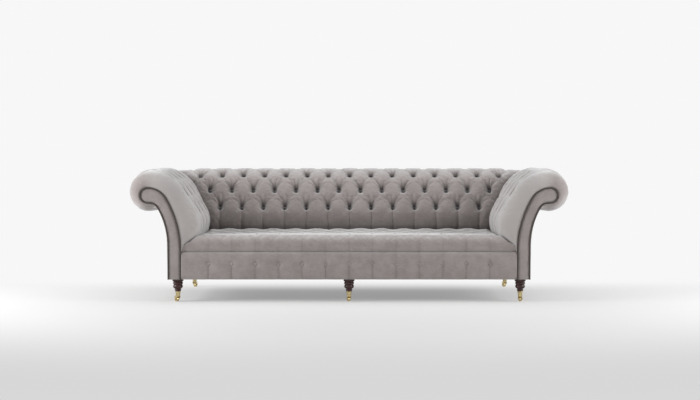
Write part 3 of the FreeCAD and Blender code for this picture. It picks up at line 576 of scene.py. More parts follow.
ARM_SEEDS = {-1: 47, 1: 31}
ARM_FULLNESS = 0.8
ARM_PLAIN = (90.0, 190.0)
ARM_GATHER = 0.9
GATHER_SIZE = 13.0
GATHER_SLANT = 0.15
GATHER_RUN = (120.0, 60.0)
ARM_CREST = 11.0
CREST_RUN = (60.0, 160.0)
CREST_ROUND = (170.0, 50.0)
CREST_S = 20.0
# Painted shade in the arms' folds, and painted light over their inner faces
ARM_SHADE = 0.35
ARM_FOLD_SHADE = 0.6
ARM_PAINTED_LIGHT = 0.65
ARM_PAINTED_LIGHT_RUN = (-90.0, 60.0)
FRONT_SWELL = 78.0
FRONT_STEPS = 16
FRONT_HOLD = (-5.0, 70.0)
LINING_FRONT = FRONT_Y + 12.0


def arm_cushion(name, side):
    """An arm's padding: the full scroll behind, drawn in round the front to the scroll board."""
    rounds = np.linspace(0, math.pi / 2, FRONT_STEPS + 1)[:-1]
    inner = PANEL_Y + FACE_LOW - CORNER_BAND
    swell = FRONT_Y + FRONT_SWELL * (1 - np.cos(rounds))
    fixed = np.concatenate([swell, even(FRONT_Y + FRONT_SWELL, inner)])
    y = drawn_out(fixed, PANEL_Y + SKIN[:, 0], CORNER_STEPS)
    full = np.ones(y.shape[1])
    full[:FRONT_STEPS] = np.sin(rounds)
    core = sampled(core_runs(CORE_PROUD))
    s = SKIN_S[:, None] + 0 * y
    o = core[:, :1] + (SKIN[:, :1] - core[:, :1]) * full
    z = core[:, 1:] + (SKIN[:, 1:] - core[:, 1:]) * full
    depth = y - FRONT_Y
    seed = ARM_SEEDS[side]
    buttoned = smooth(*ARM_PLAIN, depth)
    height, fold = FACE_BUTTONS.cover(y - PANEL_Y + PANEL_X, s, seed, buttoned, ARM_FULLNESS)
    gather = ARM_GATHER * ripple(s, GATHER_SLANT * depth, GATHER_SIZE, seed + 5)
    height += gather * smooth(*GATHER_RUN, depth)
    height *= edge_hold(s) * smooth(*FRONT_HOLD, depth)
    height += ARM_CREST * smooth(*CREST_RUN, depth) * smooth(*CREST_ROUND, np.abs(s - CREST_S))
    height -= corner_fall(PANEL_Y + SKIN[:, :1] - y, s)
    out = o + height * SKIN_OUT[:, :1]
    z = z + height * SKIN_OUT[:, 1:]
    ends = PANEL_Y + out
    run, out = rounded_corner(drawn_to(y, ends, inner), out, ends)
    skin = settled(np.stack([side * (PANEL_X + out), run, z], 2), fold, side)
    lining = [[(side * (PANEL_X + o), end, z) for end in (LINING_FRONT, PANEL_Y + o)] for o, z in LINING]
    # Painted shade in the folds, capped, and painted light over the inner face from the roll's top down,
    # kept off the folds
    shade = np.minimum(ARM_FOLD_SHADE * fold, ARM_SHADE)
    shade -= ARM_PAINTED_LIGHT * smooth(*ARM_PAINTED_LIGHT_RUN, s) * (1 - shade / ARM_SHADE)
    return with_painted_shading(shell(name, skin, np.array(lining)), shade)


SEAT_SEED = 71
SEAT_STEP = 6.5
SEAT_SIDE = PANEL_X + FACE_LOW
SEAT_BACK = PANEL_Y + FACE_LOW
SEAT_FOOT = PANEL_X - CORE_THICKNESS
SIDE_GAP = 0.5
SEAT_REACH = SEAT_FOOT - SIDE_GAP
SIDE_STEPS = 30
LIP = 52.0
LIP_FOOT = (FRONT_Y + 8.0, SEAM_Z)
LIP_FRONT = (FRONT_Y, SEAM_Z + 16.0)
SEAT_REAR = (SEAT_BACK - 2.0, SEAT_Z - 1.0)
SEAT_TUCK = (SEAT_BACK + 60.0, SEAM_Z + 8.0)
UNDERSIDE_REAR = SEAT_BACK + 58.0
UNDERSIDE_FRONT = FRONT_Y + 30.0
ARM_FRONT_X = SEAT_FOOT - 2.5
ARM_FRONT_Z = (376.0, 326.0)
SEAM_HEIGHT = 0.25
SEAM_RUN = (0.0, 26.0)
SIDE_TUCK = 14.0
TUCK_WIDTH = 18.0
TUCK_EASE = 0.9
TUCK_EASE_RUN = (330.0, 130.0)
TUCK_RUN = (60.0, 120.0)
DRAPE = 1.6
DRAPE_WIDTH = 5.0
DRAPE_RUN = (130.0, 60.0)
REAR_WAVE = 4.0
REAR_WAVE_Y = (SEAT_BACK - 200.0, SEAT_BACK - 90.0)
# Painted shade in the seat's folds and pleats, and over its top
SEAT_SHADE = 0.25
SEAT_TOP_PAINTED_SHADE = 0.12
SEAT_TOP_PAINTED_SHADE_RUN = (80.0, 150.0)


def seat_line():
    """The seat's section: up from the seam, over the rounded front edge and back to the tuck."""
    edge = turn((FRONT_Y + LIP, SEAT_Z - LIP), LIP, 180, 90)
    top = straight((FRONT_Y + LIP, SEAT_Z), SEAT_REAR)
    line = np.concatenate([straight(LIP_FOOT, LIP_FRONT), edge, top, straight(SEAT_REAR, SEAT_TUCK)])
    return along(line, int(length_of(line) / SEAT_STEP))


def seat_sides(line):
    """How far the seat reaches to each side, against the arms and round their fronts."""
    slope = (SEAT_FOOT - SEAT_SIDE) / (BEVEL_Z - SEAM_Z)
    side = np.where(line[:, 1] > BEVEL_Z, SEAT_SIDE, SEAT_FOOT - (line[:, 1] - SEAM_Z) * slope) - SIDE_GAP
    depth = np.clip((line[:, 0] - FRONT_Y) / FRONT_SWELL, 0.0, 1.0)
    beside_arm = np.sqrt(1 - (1 - depth) ** 2)
    return side + (ARM_FRONT_X - side) * (1 - beside_arm) * smooth(*ARM_FRONT_Z, line[:, 1])


def seat_cushion():
    """The seat's padding, buttoned on top and tucked in at the arms and under the back."""
    line = seat_line()
    run = run_of(line)
    lip_run = run[np.argmax(line[:, 0] > FRONT_Y + LIP)]
    out = -outward(line)
    side = seat_sides(line)
    inner = SEAT_SIDE - CORNER_BAND
    fixed = even(-inner, inner)
    x = drawn_out(fixed, side, SIDE_STEPS, both=True)
    height, fold = SEAT_BUTTONS.cover(x, (run - lip_run + LIP)[:, None] + 0 * x, SEAT_SEED)
    height *= SEAM_HEIGHT + (1 - SEAM_HEIGHT) * smooth(*SEAM_RUN, run)[:, None]
    eased_off = 1 - TUCK_EASE * smooth(*TUCK_EASE_RUN, line[:, :1] - FRONT_Y)
    tuck = SIDE_TUCK * eased_off * smooth(*TUCK_RUN, run)[:, None]
    height -= tuck * np.exp(-(side[:, None] - np.abs(x)) / TUCK_WIDTH)
    drape = np.exp(-np.abs(off_column(x)) / DRAPE_WIDTH) * smooth(*DRAPE_RUN, run)[:, None]
    height -= DRAPE * drape
    fold += drape
    height -= REAR_WAVE * np.cos(2 * math.pi * x / COLUMN) * smooth(*REAR_WAVE_Y, line[:, :1])
    rows = np.stack([x, line[:, :1] + height * out[:, :1], line[:, 1:] + height * out[:, 1:]], 2)
    rows = settled(rows, fold, 1)
    foot = drawn_out(fixed, np.array([SEAT_REACH]), SIDE_STEPS, both=True)[0]
    ends = (UNDERSIDE_REAR, UNDERSIDE_FRONT)
    underside = [np.stack([foot, 0 * foot + y, 0 * foot + SEAM_Z], 1) for y in ends]
    # Painted shade in the folds and pleats, and a little over the seat's top behind its front edge
    shade = SEAT_SHADE * fold + SEAT_TOP_PAINTED_SHADE * smooth(*SEAT_TOP_PAINTED_SHADE_RUN, run)[:, None]
    return with_painted_shading(ring_of("seat_cushion", np.concatenate([rows, np.array(underside)])), shade)


BORDER_STEP = 4.5
BORDER_ROWS = 33
BORDER_TOP = SEAM_Z - 1.0
BORDER_FRONT = FRONT_Y + 4.0
BORDER_BEHIND = FRONT_Y + 29.0
BORDER_CROWN = 11.0
CROWN_POWER = 3.2
BORDER_SWAY = 2.0
BORDER_SWAY_SIZE = 60.0
BORDER_SWAY_SEED = 93
BORDER_WELL = 7.0
BORDER_WELL_RADIUS = 17.0
BORDER_PLEAT = 2.6
BORDER_PLEAT_WIDTH = 5.0
BORDER_PLEAT_LEAST = 0.3
BORDER_DIP = 2.0
BORDER_DIP_WIDTH = 34.0
BORDER_DIP_LEAST = 0.4
BELOW_BUTTON = (20.0, -20.0)
BORDER_WAVES = ((1.0, 1.0, 40.0, 91), (1.8, 0.5, 120.0, 92))
BOTTOM_HOLD = (FRAME_BOTTOM - 2.0, FRAME_BOTTOM + 24.0)
TOP_HOLD = (SEAM_Z + 2.0, SEAM_Z - 20.0)
# Painted shade in the border's button wells and along its pleats
BORDER_WELL_SHADE = 0.1
BORDER_PLEAT_SHADE = 0.45


def border_panel():
    """The padded border under the seat, with one row of buttons and a pleat down through each."""
    columns = even(-SEAT_REACH, SEAT_REACH, BORDER_STEP)
    z_line = np.linspace(FRAME_BOTTOM, BORDER_TOP, BORDER_ROWS)
    u = np.broadcast_to(columns, (len(z_line), len(columns)))
    z = np.broadcast_to(z_line[:, None], u.shape)
    middle, tall = (FRAME_BOTTOM + SEAM_Z) / 2, (SEAM_Z - FRAME_BOTTOM) / 2
    crown = BORDER_CROWN * np.sqrt(np.maximum(1 - np.abs((z - middle) / tall) ** CROWN_POWER, 0.0))
    du = off_column(u) + BORDER_SWAY * ripple(u, z, BORDER_SWAY_SIZE, BORDER_SWAY_SEED)
    has_button = np.abs(np.round(u / COLUMN) * COLUMN) < SEAT_REACH - BORDER_MARGIN
    dz = z - BORDER_BUTTON_Z
    below = smooth(*BELOW_BUTTON, dz)
    well = np.exp(-((np.hypot(du, dz) / BORDER_WELL_RADIUS) ** 2)) * has_button
    pleat_depth = BORDER_PLEAT_LEAST + (1 - BORDER_PLEAT_LEAST) * below
    pleat = np.exp(-np.abs(du) / BORDER_PLEAT_WIDTH) * pleat_depth * has_button
    dip_depth = BORDER_DIP_LEAST + (1 - BORDER_DIP_LEAST) * below
    dip = np.exp(-((du / BORDER_DIP_WIDTH) ** 2)) * dip_depth * has_button
    waves = sum(deep * ripple(u, tilt * z, size, seed) for deep, tilt, size, seed in BORDER_WAVES)
    hold = smooth(*BOTTOM_HOLD, z) * smooth(*TOP_HOLD, z)
    out = crown - BORDER_WELL * well - BORDER_PLEAT * pleat - BORDER_DIP * dip + waves * hold
    rows = np.stack([u, BORDER_FRONT - out, z], 2)
    behind = 0 * columns + BORDER_BEHIND
    closing = [np.stack([columns, behind, 0 * columns + end], 1) for end in (BORDER_TOP, FRAME_BOTTOM)]
    # Painted shade in the button wells and along the pleats
    shade = np.clip(BORDER_WELL_SHADE * well + BORDER_PLEAT_SHADE * pleat, 0, 1)
    return with_painted_shading(ring_of("border_panel", np.concatenate([rows, np.array(closing)])), shade)


# Facings, piping and outside covers


def outline(inset, foot=FRAME_BOTTOM):
    """The scroll board's outline, from the inner foot over the head to the outer foot."""
    left = -CORE_THICKNESS + inset
    return np.concatenate(
        [
            straight((left, foot), (left, SWEEP_AT[1])),
            turn(SWEEP_AT, SWEEP_RADIUS - inset, 180, CORE_END),
            turn(NECK_AT, NECK_RADIUS - inset, CORE_END, 90),
            turn(HEAD_AT, HEAD_RADIUS - inset, 90, -90),
            turn(NOOK_AT, NOOK_RADIUS + inset, 90, CORE_END),
            turn(FLARE_AT, FLARE_RADIUS + inset, CORE_END, 180),
            straight((-inset, FLARE_AT[1]), (-inset, foot)),
        ]
    )


FACING_INSET = 8.6
FACING_TAIL = 30.0
FACING_POINTS = 150
FACING_BEHIND = FRONT_Y + 11.5
FACING_FRONT = FRONT_Y + 3.0
FACING_DOME = ((2.0, 2.2), (3.0, 1.3), (5.0, 1.0), (7.0, 0.6))
# Painted light: how much paler the facings are made
FACING_PAINTED_LIGHT = 0.15


def facing(name, side):
    """A scroll facing, softly domed inside its piping and cut off straight at the frame's foot."""
    line = along(outline(FACING_INSET, FRAME_BOTTOM - FACING_TAIL), FACING_POINTS)
    shape = bmesh.new()
    behind = [shape.verts.new((side * (PANEL_X + o) * MM, FACING_BEHIND * MM, z * MM)) for o, z in line]
    front = [shape.verts.new((v.co.x, FACING_FRONT * MM, v.co.z)) for v in behind]
    for k, after in enumerate([*range(1, len(line)), 0]):
        shape.faces.new((behind[k], behind[after], front[after], front[k]))
    shape.faces.new(list(reversed(behind)))
    panel = shape.faces.new(front)
    bmesh.ops.recalc_face_normals(shape, faces=shape.faces)
    for width, rise in FACING_DOME:
        bmesh.ops.inset_region(
            shape, faces=[panel], thickness=width * MM, depth=rise * MM, use_even_offset=True
        )
    whole = shape.verts[:] + shape.edges[:] + shape.faces[:]
    foot = (0, 0, FRAME_BOTTOM * MM)
    cut = bmesh.ops.bisect_plane(shape, geom=whole, plane_co=foot, plane_no=(0, 0, 1), clear_inner=True)
    rim = [part for part in cut["geom_cut"] if isinstance(part, bmesh.types.BMEdge)]
    bmesh.ops.edgeloop_fill(shape, edges=rim)
    bmesh.ops.recalc_face_normals(shape, faces=shape.faces)
    mesh = bpy.data.meshes.new(name)
    shape.to_mesh(mesh)
    shape.free()
    mesh.shade_smooth()
    piece = bpy.data.objects.new(name, mesh)
    bpy.context.scene.collection.objects.link(piece)
    # Painted light: the whole facing is made a little paler
    return with_painted_shading(piece, np.full(len(mesh.vertices), -FACING_PAINTED_LIGHT))


PIPING_RADIUS = 4.6
PIPING_INSET = 4.3
PIPING_Y = -496.0
PIPING_POINTS = 220
PIPING_ROUND = 3
WELD = 0.01


def piping(name, side):
    """Round piping in the groove between the facing and the padding."""
    line = along(outline(PIPING_INSET), PIPING_POINTS)
    path = bpy.data.curves.new(name, "CURVE")
    path.dimensions = "3D"
    path.bevel_depth = PIPING_RADIUS * MM
    path.bevel_resolution = PIPING_ROUND
    path.use_fill_caps = True
    run = path.splines.new("POLY")
    run.points.add(len(line) - 1)
    for point, (o, z) in zip(run.points, line):
        point.co = (side * (PANEL_X + o) * MM, PIPING_Y * MM, z * MM, 1.0)
    cord = bpy.data.objects.new(name, path)
    bpy.context.scene.collection.objects.link(cord)
    bpy.ops.object.select_all(action="DESELECT")
    bpy.context.view_layer.objects.active = cord
    cord.select_set(True)
    bpy.ops.object.convert(target="MESH")
    bpy.ops.object.mode_set(mode="EDIT")
    bpy.ops.mesh.select_all(action="SELECT")
    bpy.ops.mesh.remove_doubles(threshold=WELD * MM)
    bpy.ops.mesh.normals_make_consistent(inside=False)
    bpy.ops.object.mode_set(mode="OBJECT")
    piece = bpy.context.object
    piece.data.shade_smooth()
    piece.select_set(False)
    return piece


COVER_THICKNESS = 3.4
COVER_FRONT = FRONT_Y + 6.0
COVER_CORNER = 16.0
COVER_POINTS = 40
COVER_STEP = 14.0
COVER_BAND = 60.0
COVER_END_STEPS = 24
COVER_END_HOLD = (0.0, 26.0)
COVER_SWELL = 4.0
SWELL_POWER = 0.7
COVER_WAVES = ((1.4, 0.7, 240.0, 110.0), (0.7, 1.0, 420.0, 60.0))
WAVES_TOP = (0.0, 0.1)
WAVES_FOOT = (1.0, 0.9)
HEM = (0.0, 1.0, 3.0)
HEM_END = 7.0
HEM_TURN = 4.0
HEM_RUN = (0.0, 9.0)
OUTSIDE_ARM_SEEDS = {-1: 163, 1: 151}
OUTSIDE_BACK_SEED = 171


def cover_line():
    """The outside cover's line: from under the roll, down the flare to the frame's foot."""
    flare = turn(FLARE_AT, FLARE_RADIUS, CORE_END, 180)
    return along(np.concatenate([flare, straight((0.0, FLARE_AT[1]), (0.0, FRAME_BOTTOM))]), COVER_POINTS)


def cover_rows(run, line, seed):
    """Swell and soft tension waves of a cover pulled over the frame."""
    share = np.linspace(0, 1, len(line))[:, None] + 0 * run
    belly = COVER_SWELL * np.sin(math.pi * share) ** SWELL_POWER
    waves = sum(
        deep * ripple(run * across, share * down, size, seed + k)
        for k, (deep, across, down, size) in enumerate(COVER_WAVES)
    )
    return belly + waves * smooth(*WAVES_TOP, share) * smooth(*WAVES_FOOT, share)


def outside_arm(name, side):
    """An arm's outside cover, turned in at the front and rounded at the rear corner."""
    line = cover_line()
    hem = COVER_FRONT + np.array(HEM)
    fixed = np.concatenate([hem, even(COVER_FRONT + HEM_END, PANEL_Y - COVER_BAND, COVER_STEP)])
    end = PANEL_Y + line[:, :1]
    y = drawn_out(fixed, PANEL_Y + line[:, 0], COVER_END_STEPS)
    turned_in = HEM_TURN * (1 - smooth(*HEM_RUN, y - COVER_FRONT))
    swell = cover_rows(y, line, OUTSIDE_ARM_SEEDS[side]) - turned_in
    out = line[:, :1] + swell * smooth(*COVER_END_HOLD, end - y)
    run, out = rounded_corner(y, out, end, COVER_CORNER)
    skin = np.stack([side * (PANEL_X + out), run, line[:, 1:] + 0 * y], 2)
    inside = skin - np.array([side * COVER_THICKNESS, 0, 0])
    inside[..., 1] -= COVER_THICKNESS * smooth(PANEL_Y - COVER_BAND, PANEL_Y, y)
    return shell(name, skin, inside)


def outside_back():
    """The back's outside cover, rounded at both rear corners."""
    line = cover_line()
    inner = PANEL_X - COVER_BAND
    end = PANEL_X + line[:, :1]
    u = drawn_out(even(-inner, inner, COVER_STEP), PANEL_X + line[:, 0], COVER_END_STEPS, both=True)
    swell = cover_rows(u, line, OUTSIDE_BACK_SEED)
    out = line[:, :1] + swell * smooth(*COVER_END_HOLD, end - np.abs(u))
    run, out = rounded_corner(np.abs(u), out, end, COVER_CORNER)
    skin = np.stack([np.sign(u) * run, PANEL_Y + out, line[:, 1:] + 0 * u], 2)
    inside = skin - np.array([0, COVER_THICKNESS, 0])
    inside[..., 0] -= np.sign(u) * COVER_THICKNESS * smooth(inner, PANEL_X, np.abs(u))
    return shell("outside_back_cover", skin, inside)


# Buttons

BUTTON_RADIUS = 10.0
BUTTON_DOME = 6.5
BUTTON_DROP = 6.0
BUTTON_REACH = 60.0
BUTTON_SEGMENTS = 10
BUTTON_RINGS = 5
BORDER_BUTTON_Y = FRONT_Y - 2.0


def face_place(s):
    """Point and outward direction of the padding's line, s down from the roll's top."""
    return [np.interp(s, SKIN_S, values) for values in (*SKIN.T, *SKIN_OUT.T)]


def button_columns(shift, low, high):
    first, last = math.ceil((low - shift) / COLUMN), math.floor((high - shift) / COLUMN)
    return [shift + n * COLUMN for n in range(first, last + 1)]


def face_buttons(on_back):
    """Places and directions of the buttons on the back, or on both arms."""
    found = []
    for row in range(ROWS):
        o, z, out_o, out_z = face_place(FIRST_ROW + row * ROW + BUTTON_DROP)
        shift = COLUMN / 2 if row % 2 == 0 else 0.0
        high = PANEL_X + o - CORNER_MARGIN
        if on_back:
            for x in button_columns(shift, -high, high):
                found.append(((x, PANEL_Y + o, z), (0, out_o, out_z)))
            continue
        for x in button_columns(shift, FRONT_Y + PLAIN_BAND - PANEL_Y + PANEL_X, high):
            y = x - PANEL_X + PANEL_Y
            for side in (-1, 1):
                found.append(((side * (PANEL_X + o), y, z), (side * out_o, 0, out_z)))
    return found


def seat_buttons():
    reach = SEAT_SIDE - SEAT_MARGIN
    found = []
    for row in range(SEAT_ROWS):
        shift = COLUMN / 2 if row % 2 else 0.0
        y = FRONT_Y + SEAT_FIRST_ROW + row * SEAT_ROW
        found += [((x, y, SEAT_Z), (0, 0, 1)) for x in button_columns(shift, -reach, reach)]
    return found


def border_buttons():
    reach = SEAT_FOOT - BORDER_MARGIN
    return [((x, BORDER_BUTTON_Y, BORDER_BUTTON_Z), (0, -1, 0)) for x in button_columns(0.0, -reach, reach)]


def on_cover(place, out, covers):
    """The spot where a button at a place, pressed in along its direction, meets a cover."""
    start = (Vector(place) + BUTTON_REACH * Vector(out)) * MM
    for cover in covers:
        met, spot, _, _ = cover.ray_cast(start, -Vector(out))
        if met and (spot - start).length < 2 * BUTTON_REACH * MM:
            return spot / MM
    return Vector(place)


def button_group(name, places, covers, depth):
    """Covered buttons, each a flattened dome on the cover it holds down, joined in one piece."""
    bpy.context.view_layer.update()
    bpy.ops.object.select_all(action="DESELECT")
    flat = Matrix.Diagonal((1.0, 1.0, BUTTON_DOME / BUTTON_RADIUS, 1.0))
    for place, out in places:
        seat_at = on_cover(place, out, covers) - Vector(out) * depth
        bpy.ops.mesh.primitive_uv_sphere_add(
            segments=BUTTON_SEGMENTS, ring_count=BUTTON_RINGS, radius=BUTTON_RADIUS * MM
        )
        turned = Vector(out).to_track_quat("Z", "Y").to_matrix().to_4x4()
        bpy.context.object.data.transform(Matrix.Translation(seat_at * MM) @ turned @ flat)
    made = [piece for piece in bpy.context.scene.objects if piece.name.startswith("Sphere")]
    for piece in made:
        piece.select_set(True)
    bpy.context.view_layer.objects.active = made[0]
    bpy.ops.object.join()
    group = bpy.context.object
    group.name = group.data.name = name
    group.data.shade_smooth()
    group.select_set(False)
    return group


# Finishes

WHITE = (1.0, 1.0, 1.0, 1.0)
SEEN_BY = ("Is Camera Ray", "Is Glossy Ray", "Is Transmission Ray")


class Wire:
    """An output of a shader node, usable in sums."""

    def __init__(self, nodes, socket):
        self.nodes, self.socket = nodes, socket

    def math(self, operation, first, second):
        return self.nodes.add("ShaderNodeMath", {"operation": operation}, {0: first, 1: second})

    def __add__(self, other):
        return self.math("ADD", self, other)

    __radd__ = __add__

    def __mul__(self, other):
        return self.math("MULTIPLY", self, other)

    __rmul__ = __mul__


class Nodes:
    """A node tree that nodes are added to by kind."""

    def __init__(self, tree):
        self.tree = tree

    def add(self, kind, settings=None, sockets=None, out=0):
        """A node of the kind, its settings first, then values or links for its sockets."""
        node = self.tree.nodes.new(kind)
        for key, value in (settings or {}).items():
            setattr(node, key, value)
        for key, value in (sockets or {}).items():
            self.join(node.inputs[key], value)
        return Wire(self, node.outputs[out])

    def join(self, socket, value):
        if isinstance(value, Wire):
            self.tree.links.new(value.socket, socket)
        else:
            socket.default_value = value

    def seen(self):
        """1 where a ray sees the surface straight, in a reflection or through glass."""
        straight_on, mirrored, through = (self.add("ShaderNodeLightPath", out=kind) for kind in SEEN_BY)
        return straight_on.math("MAXIMUM", straight_on, straight_on.math("MAXIMUM", mirrored, through))


class Finish(Nodes):
    """A material made of nodes, with one principled surface."""

    def __init__(self, name, **constants):
        self.material = bpy.data.materials.new(name)
        self.material.use_nodes = True
        super().__init__(self.material.node_tree)
        self.surface = self.tree.nodes["Principled BSDF"]
        self.show(**constants)

    def show(self, **values):
        """Gives the surface its values or links, and returns the material."""
        for socket, value in values.items():
            self.join(self.surface.inputs[socket.replace("_", " ")], value)
        return self.material

    def place(self, scale=(1.0, 1.0, 1.0)):
        """Object coordinates, stretched."""
        at = self.add("ShaderNodeTexCoord", out="Object")
        return self.add("ShaderNodeMapping", sockets={"Vector": at, "Scale": scale})

    def noise(self, at, scale, detail=2.0, roughness=0.5):
        sockets = {"Vector": at, "Scale": scale, "Detail": detail, "Roughness": roughness}
        return self.add("ShaderNodeTexNoise", sockets=sockets)

    def bands(self, at, direction, scale, distortion):
        sockets = {"Vector": at, "Scale": scale, "Distortion": distortion}
        return self.add("ShaderNodeTexWave", {"bands_direction": direction}, sockets)

    def blend(self, share, low, high):
        """A colour between two, by a share."""
        return self.add("ShaderNodeMix", {"data_type": "RGBA"}, {0: share, 6: low, 7: high}, out=2)

    def ranged(self, value, spread, result=(0.0, 1.0)):
        """A value's place within a spread, eased and carried over to a result's range."""
        sockets = {"Value": value, "From Min": spread[0], "From Max": spread[1]}
        sockets |= {"To Min": result[0], "To Max": result[1]}
        return self.add("ShaderNodeMapRange", {"interpolation_type": "SMOOTHSTEP"}, sockets)

    def bump(self, height, distance, strength):
        sockets = {"Height": height, "Distance": distance, "Strength": strength}
        return self.add("ShaderNodeBump", sockets=sockets)


def linear(value):
    """A linear channel from its 0 to 255 screen value, by the usual screen curve."""
    share = value / 255
    return ((share + 0.055) / 1.055) ** 2.4 if value > 10 else share / 12.92


def colour(red, green, blue):
    return (linear(red), linear(green), linear(blue), 1.0)


def velvet(name, base, deep, pale, shade):
    """Short-pile upholstery: fine pile, a soft sheen, painted shade in the folds, and painted light where
    the fold value is below 0.
    """
    cloth = Finish(name, Sheen_Weight=0.75, Sheen_Roughness=0.65, Specular_IOR_Level=0.15)
    cloth.show(Sheen_Tint=colour(244, 247, 248))
    at = cloth.place()
    brushed = cloth.noise(at, scale=14.0, detail=3.0, roughness=0.6)
    streaks = cloth.noise(cloth.place((38.0, 38.0, 120.0)), scale=1.0)
    pile = cloth.noise(at, scale=900.0, roughness=0.7)
    body = cloth.blend(cloth.ranged(brushed * 0.7 + streaks * 0.3, (0.36, 0.64)), deep, base)
    body = cloth.blend(cloth.ranged(pile, (0.52, 0.75), (0.0, 0.45)), body, pale)
    fold = cloth.add("ShaderNodeAttribute", {"attribute_name": "fold"}, out=2)
    # Painted shade: darker towards the shade colour by the fold value
    body = cloth.blend(fold * 0.85, body, shade)
    # Painted light: paler where the fold value is below 0
    body = cloth.blend(cloth.ranged(fold, (0.0, -1.0)), body, pale)
    rough = cloth.ranged(brushed, (0.3, 0.7), (0.78, 0.92))
    nap = cloth.bump(pile + 0.6 * streaks, distance=0.0006, strength=0.5)
    return cloth.show(Base_Color=body, Roughness=rough, Normal=nap)


def cord_cloth(name, dark, light):
    """Piping cloth with a fine slanted twill."""
    cloth = Finish(name, Sheen_Weight=0.15, Specular_IOR_Level=0.2)
    at = cloth.place((1.0, 0.6, 1.0))
    twill = cloth.bands(at, "DIAGONAL", scale=210.0, distortion=1.5)
    mottle = cloth.noise(at, scale=60.0)
    tone = cloth.blend(twill * 0.6 + mottle * 0.4, dark, light)
    rough = cloth.ranged(mottle, (0.3, 0.7), (0.75, 0.9))
    return cloth.show(Base_Color=tone, Roughness=rough, Normal=cloth.bump(twill, 0.0005, 0.6))


def polished_wood(name, dark, light, scales, gloss, coat):
    """Grained wood; the grain runs along the axis with the smallest scale."""
    wood = Finish(name, Coat_Roughness=0.15, Specular_IOR_Level=0.3)
    at = wood.place(scales)
    figure = wood.noise(at, scale=6.0, detail=4.0, roughness=0.6)
    pores = wood.noise(at, scale=60.0, detail=3.0, roughness=0.7)
    tone = wood.blend(wood.ranged(figure * 0.7 + pores * 0.3, (0.35, 0.65)), dark, light)
    rough = wood.ranged(pores, (0.35, 0.7), (gloss, gloss + 0.16))
    lacquer = wood.ranged(figure, (0.2, 0.8), (coat, coat * 0.7))
    grain = wood.bump(pores, distance=0.0003, strength=0.4)
    return wood.show(Base_Color=tone, Roughness=rough, Coat_Weight=lacquer, Normal=grain)


def metal(name, bright, dull, low, high):
    """Metal with handling marks and tarnish."""
    piece = Finish(name, Metallic=1.0)
    at = piece.place()
    tarnish = piece.noise(at, scale=120.0, detail=3.0, roughness=0.6)
    marks = piece.noise(piece.place((1.0, 1.0, 6.0)), scale=500.0)
    tone = piece.blend(piece.ranged(tarnish, (0.45, 0.72)), bright, dull)
    rough = piece.ranged(tarnish * 0.6 + marks * 0.4, (0.3, 0.7), (low, high))
    return piece.show(Base_Color=tone, Roughness=rough, Normal=piece.bump(marks, 0.00008, 0.3))


def woven(name, light, dark, count):
    """Plain weave of crossing threads."""
    cloth = Finish(name, Specular_IOR_Level=0.15)
    at = cloth.place()
    across, down = (cloth.bands(at, way, count, distortion=0.6) for way in ("X", "DIAGONAL"))
    threads = across * 0.5 + down * 0.5
    mottle = cloth.noise(at, scale=25.0)
    tone = cloth.blend(threads * 0.7 + mottle * 0.3, dark, light)
    rough = cloth.ranged(mottle, (0.3, 0.7), (0.85, 0.97))
    return cloth.show(Base_Color=tone, Roughness=rough, Normal=cloth.bump(threads, 0.0004, 0.5))


# Floor, lamps and camera, in metres and watts

AMBIENT = 0.27
BACKDROP_WHITE = 0.93
FLOOR_SIZE = 80.0
FLOOR_TONES = (colour(224, 224, 224), colour(228, 228, 228))
FLOOR_NARROWED = (0.8, 1.0, 1.0)
FADE = ((0.0, 0.7), (1.7, 3.1), (0.36, 1.0))
GLOW = ((-1.6, 0.5), (3.0, 6.0), (0.68, BACKDROP_WHITE))
LAMPS = (
    ("top", (0.0, 0.4, 3.4), (0, 0.4, 0.0), (4.4, 2.4), 41.0),
    ("key", (-4.2, -1.7, 2.2), (0.6, 0, 0.5), (2.4, 1.6), 128.0),
    ("fill", (4.2, -1.7, 2.2), (-0.6, 0, 0.5), (2.4, 1.6), 105.0),
    ("left", (-4.8, -1.3, 1.35), (1.0, -0.2, 0.55), (1.6, 0.9), 78.0),
    ("right", (4.8, -1.3, 1.35), (-1.0, -0.2, 0.55), (1.6, 0.9), 62.0),
    ("low", (0.0, -4.3, 0.2), (0, -0.4, 0.35), (5.0, 0.3), 20.0),
)
CAMERA_AT = (0.045, -7.5, 0.94)
CAMERA_TILT = 2.66
CAMERA_SHIFT = -0.0093
LENS = 60.5
SENSOR = 36.0


def white_floor():
    """A floor that keeps the sofa's shadow near it and turns plain white further back."""
    ground = Finish("white_floor", Specular_IOR_Level=0.1)
    mottle = ground.noise(ground.place(), scale=0.6)
    rough = ground.ranged(mottle, (0.0, 1.0), (0.85, 0.95))
    ground.show(Base_Color=ground.blend(mottle, *FLOOR_TONES), Roughness=rough)
    back = ground.add("ShaderNodeSeparateXYZ", sockets={0: ground.place()}, out=1)
    around = ground.place(FLOOR_NARROWED)
    away = ground.add("ShaderNodeVectorMath", {"operation": "LENGTH"}, {0: around}, out=1)
    share, glow = (
        back.math("MAXIMUM", ground.ranged(back, behind, values), ground.ranged(away, beyond, values))
        for behind, beyond, values in (FADE, GLOW)
    )
    plain = ground.add("ShaderNodeEmission", sockets={"Strength": glow})
    lit = Wire(ground, ground.surface.outputs[0])
    mixed = ground.add("ShaderNodeMixShader", sockets={0: ground.seen() * share, 1: lit, 2: plain})
    ground.join(ground.tree.nodes["Material Output"].inputs[0], mixed)
    return ground.material


def lay_floor():
    bpy.ops.mesh.primitive_plane_add(size=FLOOR_SIZE, location=(0, 0, 0))
    floor = bpy.context.object
    floor.name = "floor"
    floor.data.materials.append(white_floor())


